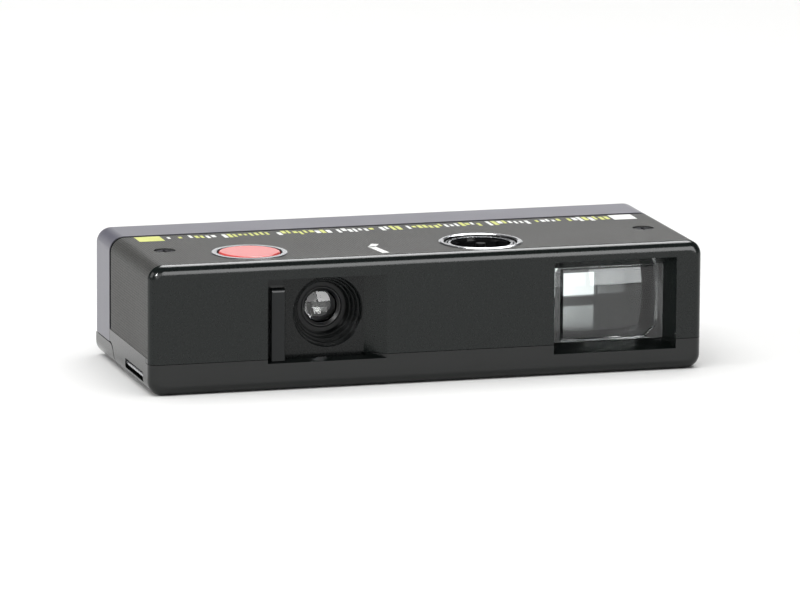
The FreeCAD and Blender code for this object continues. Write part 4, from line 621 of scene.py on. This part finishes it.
class LOOK_OT_inner_mouldings(bpy.types.Operator):
    """Finishes the inner shell, film chamber, lens board and lens cover in black ABS"""
    bl_idname = "camera_look.inner_mouldings"
    bl_label = "Inner mouldings"

    def execute(self, context):
        matt = moulded_abs("ABS_matt_moulded_black", linear("17191A"), roughness=0.5,
                           grain_mm=0.35, depth_mm=0.02, specular=0.4)
        for node in ("body_shell", "film_chamber"):
            dress(node, matt)
        dress("lens_board", moulded_abs(
            "ABS_fine_moulded_baffle", linear("0F1212"), roughness=0.22, grain_mm=0.3,
            depth_mm=0.006, specular=0.19))
        dress("lens_cover", moulded_abs(
            "ABS_fine_moulded_cover", linear("121516"), roughness=0.22, grain_mm=0.3,
            depth_mm=0.006, specular=0.21))
        return {"FINISHED"}


class LOOK_OT_lens_group(bpy.types.Operator):
    """Finishes the barrel, its ring, both glass elements, the stop and the shutter blade"""
    bl_idname = "camera_look.lens_group"
    bl_label = "Lens group"

    def execute(self, context):
        dress("lens_barrel", moulded_abs(
            "ABS_turned_barrel_black", linear("0C0D0E"), roughness=0.3, grain_mm=0.25,
            depth_mm=0.008, specular=0.16))
        dress("lens_retaining_ring", moulded_abs(
            "Brass_ring_black_lacquer", linear("0D0E0F"), roughness=0.3, grain_mm=0.25,
            depth_mm=0.006, specular=0.45))
        glass = coated_lens_glass("Glass_ground_coated", linear("ECEEEC"), linear("C6CAD6"))
        for node in ("front_lens_element", "rear_lens_element"):
            dress(node, glass)
        self.grind_front_element(context.scene.look_optics, glass)
        blackened = drawn_metal("Steel_blackened_sheet", linear("0E0E10"), roughness=0.5)
        for node in ("aperture_stop", "shutter_blade"):
            dress(node, blackened)
        return {"FINISHED"}

    def grind_front_element(self, optics, glass):
        """Spins a glass element with two ground faces, inside the room of the solid one."""
        low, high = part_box("front_lens_element")
        middle, rim = (low + high) / 2, (high.x - low.x) / 2
        lens = bmesh.new()
        ends = []
        for apex, radius in ((low.y, optics.front_radius),
                             (high.y - optics.seat_gap, -optics.rear_radius)):
            start = bmesh.ops.create_vert(lens, co=(middle.x, apex, middle.z))["vert"]
            arc = bmesh.ops.spin(lens, geom=start, cent=(middle.x, apex + radius, middle.z),
                                 axis=(0, 0, 1), angle=math.asin(rim / radius), steps=16)
            ends.append(next(v for v in arc["geom_last"] if isinstance(v, bmesh.types.BMVert)))
        lens.edges.new(ends)
        bmesh.ops.spin(lens, geom=lens.verts[:] + lens.edges[:], cent=middle, axis=(0, 1, 0),
                       angle=math.tau, steps=64, use_merge=True)
        piece = new_piece("front_lens_glass", lens, glass, "camera_body")
        piece.data.shade_smooth()
        piece.data.set_sharp_from_angle(angle=math.radians(30))
        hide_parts("front_lens_element")


class LOOK_OT_finder(bpy.types.Operator):
    """Finishes the finder's clear lenses and its glossy tunnel"""
    bl_idname = "camera_look.finder"
    bl_label = "Finder"

    def execute(self, context):
        clear = clear_acrylic("Acrylic_cast_clear", linear("F7FBFB"))
        for node in ("viewfinder_lens", "viewfinder_eyepiece"):
            dress(node, clear)
        dress("viewfinder_tunnel", polished_plastic(
            "ABS_polished_tunnel_black", linear("0C0D0F"), roughness=0.12, specular=0.16))
        return {"FINISHED"}


class LOOK_OT_release(bpy.types.Operator):
    """Finishes the shutter button, its collar and the release lever, and gives the button's
    spring a mesh of its own
    """
    bl_idname = "camera_look.release"
    bl_label = "Shutter release"

    def execute(self, context):
        scene = context.scene
        dress("shutter_button", polished_plastic(
            "ABS_polished_orange_red", scene.look_finish.button_colour, roughness=0.16,
            wave_mm=5.0))
        dress("button_collar", foil_stamped_abs(
            "ABS_foil_stamped_collar", linear(SILVER_FOIL),
            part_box("button_collar")[1].z - scene.look_optics.foil_depth))
        dress("release_lever", moulded_abs(
            "Acetal_moulded_natural_lever", linear(NATURAL_ACETAL), roughness=0.3,
            grain_mm=0.5, depth_mm=0.005))
        self.shorten_spring()
        return {"FINISHED"}

    def shorten_spring(self):
        """Gives the button's spring a mesh of its own."""
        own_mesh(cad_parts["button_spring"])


class LOOK_OT_flash_socket(bpy.types.Operator):
    """Finishes the flash socket, its bezel, ratchet and striker"""
    bl_idname = "camera_look.flash_socket"
    bl_label = "Flash socket"

    def execute(self, context):
        sizes = context.scene.look_optics
        dress("flash_socket", polished_plastic(
            "ABS_polished_black_socket", linear("1A1A1C"), roughness=0.18))
        dress("socket_bezel", foil_stamped_abs(
            "ABS_foil_stamped_bezel", linear(SILVER_FOIL),
            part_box("socket_bezel")[1].z - sizes.foil_depth))
        dress("socket_ratchet", moulded_abs(
            "Acetal_moulded_natural_ratchet", linear(NATURAL_ACETAL), roughness=0.3,
            grain_mm=0.5, depth_mm=0.005))
        dress("flash_striker", drawn_metal(
            "Steel_blackened_striker", linear("121213"), roughness=0.55))
        self.fit_rim_ring(sizes)
        return {"FINISHED"}

    def fit_rim_ring(self, sizes):
        """Lays a thin bright ring on the rim of the turning socket."""
        low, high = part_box("flash_socket")
        place = Matrix.Translation(((low.x + high.x) / 2, (low.y + high.y) / 2, high.z))
        ring = bmesh.new()
        for radius in (sizes.ring_outer, sizes.ring_inner):
            bmesh.ops.create_circle(ring, segments=96, radius=radius, matrix=place)
        bmesh.ops.bridge_loops(ring, edges=ring.edges[:])
        bmesh.ops.recalc_face_normals(ring, faces=ring.faces[:])
        bmesh.ops.solidify(ring, geom=ring.faces[:], thickness=sizes.ring_thickness)
        new_piece("socket_rim_ring", ring, drawn_metal(
            "Aluminium_stamped_ring", linear("B4B5B8"), roughness=0.26), "flash_socket")


class LOOK_OT_winding(bpy.types.Operator):
    """Finishes the thumb slide and both gears"""
    bl_idname = "camera_look.winding"
    bl_label = "Winding train"

    def execute(self, context):
        dress("advance_slide", polished_plastic(
            "ABS_polished_black_slide", linear("17181A"), roughness=0.24))
        acetal = moulded_abs("Acetal_moulded_natural_gear", linear("E8E4D6"), roughness=0.32,
                             grain_mm=0.5, depth_mm=0.005)
        for node in ("winding_gear", "take_up_gear"):
            dress(node, acetal)
        return {"FINISHED"}


class LOOK_OT_small_metal(bpy.types.Operator):
    """Finishes the screws, strap bar, hinge pin, pawl and springs"""
    bl_idname = "camera_look.small_metal"
    bl_label = "Screws, pins and springs"

    def execute(self, context):
        dress("cover_screws", drawn_metal(
            "Steel_blackened_screw", linear("35363A"), roughness=0.32))
        bright = drawn_metal("Steel_ground_bright", linear("B9BABD"), roughness=0.25)
        for node in ("strap_bar", "door_hinge_pin", "metering_pawl"):
            dress(node, bright)
        spring = drawn_metal("Steel_spring_wire", linear("9C9EA3"), roughness=0.28)
        for node in ("button_spring", "striker_spring", "slide_spring", "blade_spring",
                     "socket_detent_spring", "pressure_spring"):
            dress(node, spring)
        return {"FINISHED"}


class LOOK_OT_film_window(bpy.types.Operator):
    """Finishes the amber pane in the film door"""
    bl_idname = "camera_look.film_window"
    bl_label = "Film window"

    def execute(self, context):
        dress("film_window", clear_acrylic(
            "Acrylic_cast_amber", linear("8A3B1C"), roughness=0.06))
        return {"FINISHED"}


class LOOK_OT_label_line(bpy.types.Operator):
    """Prints the two blocks and the plain tick line along the rear of the top cover"""
    bl_idname = "camera_look.label_line"
    bl_label = "Label line"

    def execute(self, context):
        sizes = context.scene.look_print
        colours = context.scene.look_finish
        white = screen_ink("Ink_screen_white", colours.print_white)
        yellow = screen_ink("Ink_screen_yellow", colours.print_yellow)
        top, rear = TOP_Z, sizes.rear_edge
        ticks = {"white": bmesh.new(), "yellow": bmesh.new()}
        add_block(ticks["yellow"], (sizes.left_start, rear - sizes.block_depth, top),
                  (sizes.left_end, rear, top + sizes.thickness))
        add_block(ticks["white"], (sizes.right_start, rear - sizes.block_depth, top),
                  (sizes.right_end, rear, top + sizes.thickness))
        chance = random.Random(7)  # always the same row of ticks
        x = sizes.left_end + sizes.tick_pitch
        while x < sizes.right_start - sizes.tick_pitch:
            ink = "yellow" if chance.random() < 0.5 + 0.4 * math.sin(x / (6.0 * MM)) else "white"
            width = sizes.tick_pitch * chance.uniform(0.45, 0.8)
            back = rear - sizes.block_depth * chance.uniform(0.05, 0.4)
            front = rear - sizes.block_depth * chance.uniform(0.6, 1.0)
            if chance.random() > 0.1:
                slant = Matrix.Shear("XY", 4, (chance.uniform(-0.25, 0.25), 0.0))
                bmesh.ops.create_cube(ticks[ink], size=1.0, matrix=(
                    Matrix.Translation((x + width / 2, (back + front) / 2,
                                        top + sizes.thickness / 2))
                    @ slant @ Matrix.Diagonal((width, back - front, sizes.thickness, 1.0))))
            x += sizes.tick_pitch
        new_piece("label_white_print", ticks["white"], white, "camera_body")
        new_piece("label_yellow_print", ticks["yellow"], yellow, "camera_body")
        return {"FINISHED"}


class LOOK_OT_pointer_mark(bpy.types.Operator):
    """Prints the white pointer between the button and the flash socket"""
    bl_idname = "camera_look.pointer_mark"
    bl_label = "Pointer mark"

    def execute(self, context):
        sizes = context.scene.look_print
        mark = bmesh.new()
        corners = [Vector((*place, TOP_Z))
                   for place in (sizes.mark_tip, sizes.mark_bend, sizes.mark_foot)]
        for start, end in zip(corners, corners[1:]):
            run = end - start
            turn = Matrix.Rotation(math.atan2(run.y, run.x), 4, "Z")
            size = Matrix.Diagonal((run.length + sizes.mark_width * 0.5, sizes.mark_width,
                                    sizes.thickness, 1.0))
            lift = Vector((0, 0, sizes.thickness / 2))
            place = Matrix.Translation((start + end) / 2 + lift) @ turn @ size
            bmesh.ops.create_cube(mark, size=1.0, matrix=place)
        ink = screen_ink("Ink_screen_white_pointer", context.scene.look_finish.print_white)
        new_piece("pointer_print", mark, ink, "camera_body")
        return {"FINISHED"}


class LOOK_OT_stage(bpy.types.Operator):
    """Lays the pale floor and sets the lights"""
    bl_idname = "camera_look.stage"
    bl_label = "Stage"

    def execute(self, context):
        studio = context.scene.look_studio
        paper = bmesh.new()
        bmesh.ops.create_grid(paper, x_segments=1, y_segments=1, size=studio.floor_reach)
        mesh = bpy.data.meshes.new("studio_floor")
        paper.to_mesh(mesh)
        paper.free()
        mesh.materials.append(seamless_paper("Paper_seamless_white", studio.floor_colour))
        floor = bpy.data.objects.new("studio_floor", mesh)
        context.scene.collection.objects.link(floor)
        self.paint_sky(context, studio)
        overhead = self.hang_light(context, "light_overhead", turn=0.0, height=86.0,
                                   distance=1.6, size=(2.4, 2.4))
        overhead.data.energy = studio.key_energy
        overhead.visible_glossy = False
        side = self.hang_light(context, "light_left", turn=-88.0, height=25.0,
                               distance=1.2, size=(0.80, 0.60))
        side.data.energy = studio.side_energy
        # name, turn and height in degrees, width and height in metres, brightness
        for name, turn, height, size, radiance in (
                ("softbox_front_right", 28.0, 19.0, (0.80, 0.62), studio.right_radiance),
                ("softbox_front_left", -13.0, 14.0, (0.60, 0.44), studio.left_radiance),
                ("lamp_far_left", -34.0, 26.0, (0.16, 0.16), studio.corner_radiance),
                ("softbox_behind", 147.0, 60.0, (0.60, 0.55), studio.rear_radiance),
                ("strip_behind", 164.0, 11.5, (0.50, 0.13), studio.strip_radiance)):
            lamp = self.hang_light(context, name, turn, height, distance=1.0, size=size)
            lamp.data.energy = radiance * math.pi * size[0] * size[1]
            lamp.visible_diffuse = False
        context.scene.view_settings.view_transform = "Standard"
        return {"FINISHED"}

    def paint_sky(self, context, studio):
        """Paints the room: white at the horizon behind, dimmer in front, dark overhead."""
        world = bpy.data.worlds.new("studio_sky")
        world.use_nodes = True
        tree = world.node_tree
        tree.nodes.clear()
        place = add_node(tree, "ShaderNodeTexCoord")
        axes = add_node(tree, "ShaderNodeSeparateXYZ", {"Vector": place.outputs["Generated"]})
        horizon = add_node(tree, "ShaderNodeMapRange", {
            "Value": axes.outputs["Y"], "From Min": 0.2, "From Max": 0.8,
            "To Min": studio.sky_strength * studio.front_share, "To Max": studio.sky_strength},
            interpolation_type="SMOOTHSTEP")
        lift = add_node(tree, "ShaderNodeMapRange", {
            "Value": axes.outputs["Z"], "From Min": 0.05, "From Max": 0.3,
            "To Min": horizon.outputs["Result"], "To Max": studio.ceiling_strength},
            interpolation_type="SMOOTHSTEP")
        room = add_node(tree, "ShaderNodeBackground", {"Strength": lift.outputs["Result"]})
        add_node(tree, "ShaderNodeOutputWorld", {"Surface": room.outputs["Background"]})
        context.scene.world = world

    def hang_light(self, context, name, turn, height, distance, size):
        """Hangs one rectangular light, given by its turn to the right and height in degrees."""
        lamp = bpy.data.lights.new(name, "AREA")
        lamp.shape = "RECTANGLE"
        lamp.size, lamp.size_y = size
        turn, height = math.radians(turn), math.radians(height)
        place = distance * Vector((math.sin(turn) * math.cos(height),
                                   -math.cos(turn) * math.cos(height), math.sin(height)))
        holder = bpy.data.objects.new(name, lamp)
        holder.location = place
        holder.rotation_euler = (-place).to_track_quat("-Z", "Y").to_euler()
        context.scene.collection.objects.link(holder)
        return holder


class LOOK_OT_view(bpy.types.Operator):
    """Puts the camera where the photograph was taken from"""
    bl_idname = "camera_look.view"
    bl_label = "View"

    def execute(self, context):
        view = context.scene.look_view
        ahead = Vector((math.sin(view.yaw) * math.cos(view.drop),
                        math.cos(view.yaw) * math.cos(view.drop), -math.sin(view.drop)))
        level = Vector((math.cos(view.yaw), -math.sin(view.yaw), 0))
        upright = level.cross(ahead)
        right = math.cos(view.roll) * level + math.sin(view.roll) * upright
        up = math.cos(view.roll) * upright - math.sin(view.roll) * level
        eye = level * view.side_offset + upright * view.height_offset - ahead * view.distance
        lens = bpy.data.cameras.new("photo_view")
        lens.lens = view.focal_length
        lens.sensor_width = 36.0
        lens.clip_start, lens.clip_end = 0.01, 50.0
        viewer = bpy.data.objects.new("photo_view", lens)
        turn = Matrix((right, up, -ahead)).transposed().to_4x4()
        viewer.matrix_world = Matrix.Translation(eye) @ turn
        context.scene.collection.objects.link(viewer)
        context.scene.camera = viewer
        return {"FINISHED"}


OPERATORS = (
    LOOK_OT_stage, LOOK_OT_view, LOOK_OT_front_mouldings, LOOK_OT_top_cover,
    LOOK_OT_rear_frame, LOOK_OT_inner_mouldings, LOOK_OT_lens_group, LOOK_OT_finder,
    LOOK_OT_release, LOOK_OT_flash_socket, LOOK_OT_winding, LOOK_OT_small_metal,
    LOOK_OT_film_window, LOOK_OT_label_line, LOOK_OT_pointer_mark,
)


class LOOK_PT_panel(bpy.types.Panel):
    """Lists the steps that dress the camera"""
    bl_idname = "LOOK_PT_panel"
    bl_label = "Pocket camera look"
    bl_space_type = "VIEW_3D"
    bl_region_type = "UI"
    bl_category = "Camera look"

    def draw(self, context):
        for step in OPERATORS:
            self.layout.operator(step.bl_idname)


def register():
    """Adds the settings, steps and panel to Blender."""
    for name, group in SETTINGS:
        bpy.utils.register_class(group)
        setattr(bpy.types.Scene, name, bpy.props.PointerProperty(type=group))
    for step in OPERATORS:
        bpy.utils.register_class(step)
    bpy.utils.register_class(LOOK_PT_panel)


def unregister():
    """Takes the settings, steps and panel away again."""
    bpy.utils.unregister_class(LOOK_PT_panel)
    for step in reversed(OPERATORS):
        bpy.utils.unregister_class(step)
    for name, group in reversed(SETTINGS):
        delattr(bpy.types.Scene, name)
        bpy.utils.unregister_class(group)


def main():
    """Registers the settings, steps and panel, and runs every step to dress the whole camera."""
    register()
    for step in OPERATORS:
        group, name = step.bl_idname.split(".")
        getattr(getattr(bpy.ops, group), name)()


if __name__ == "__main__":
    main()
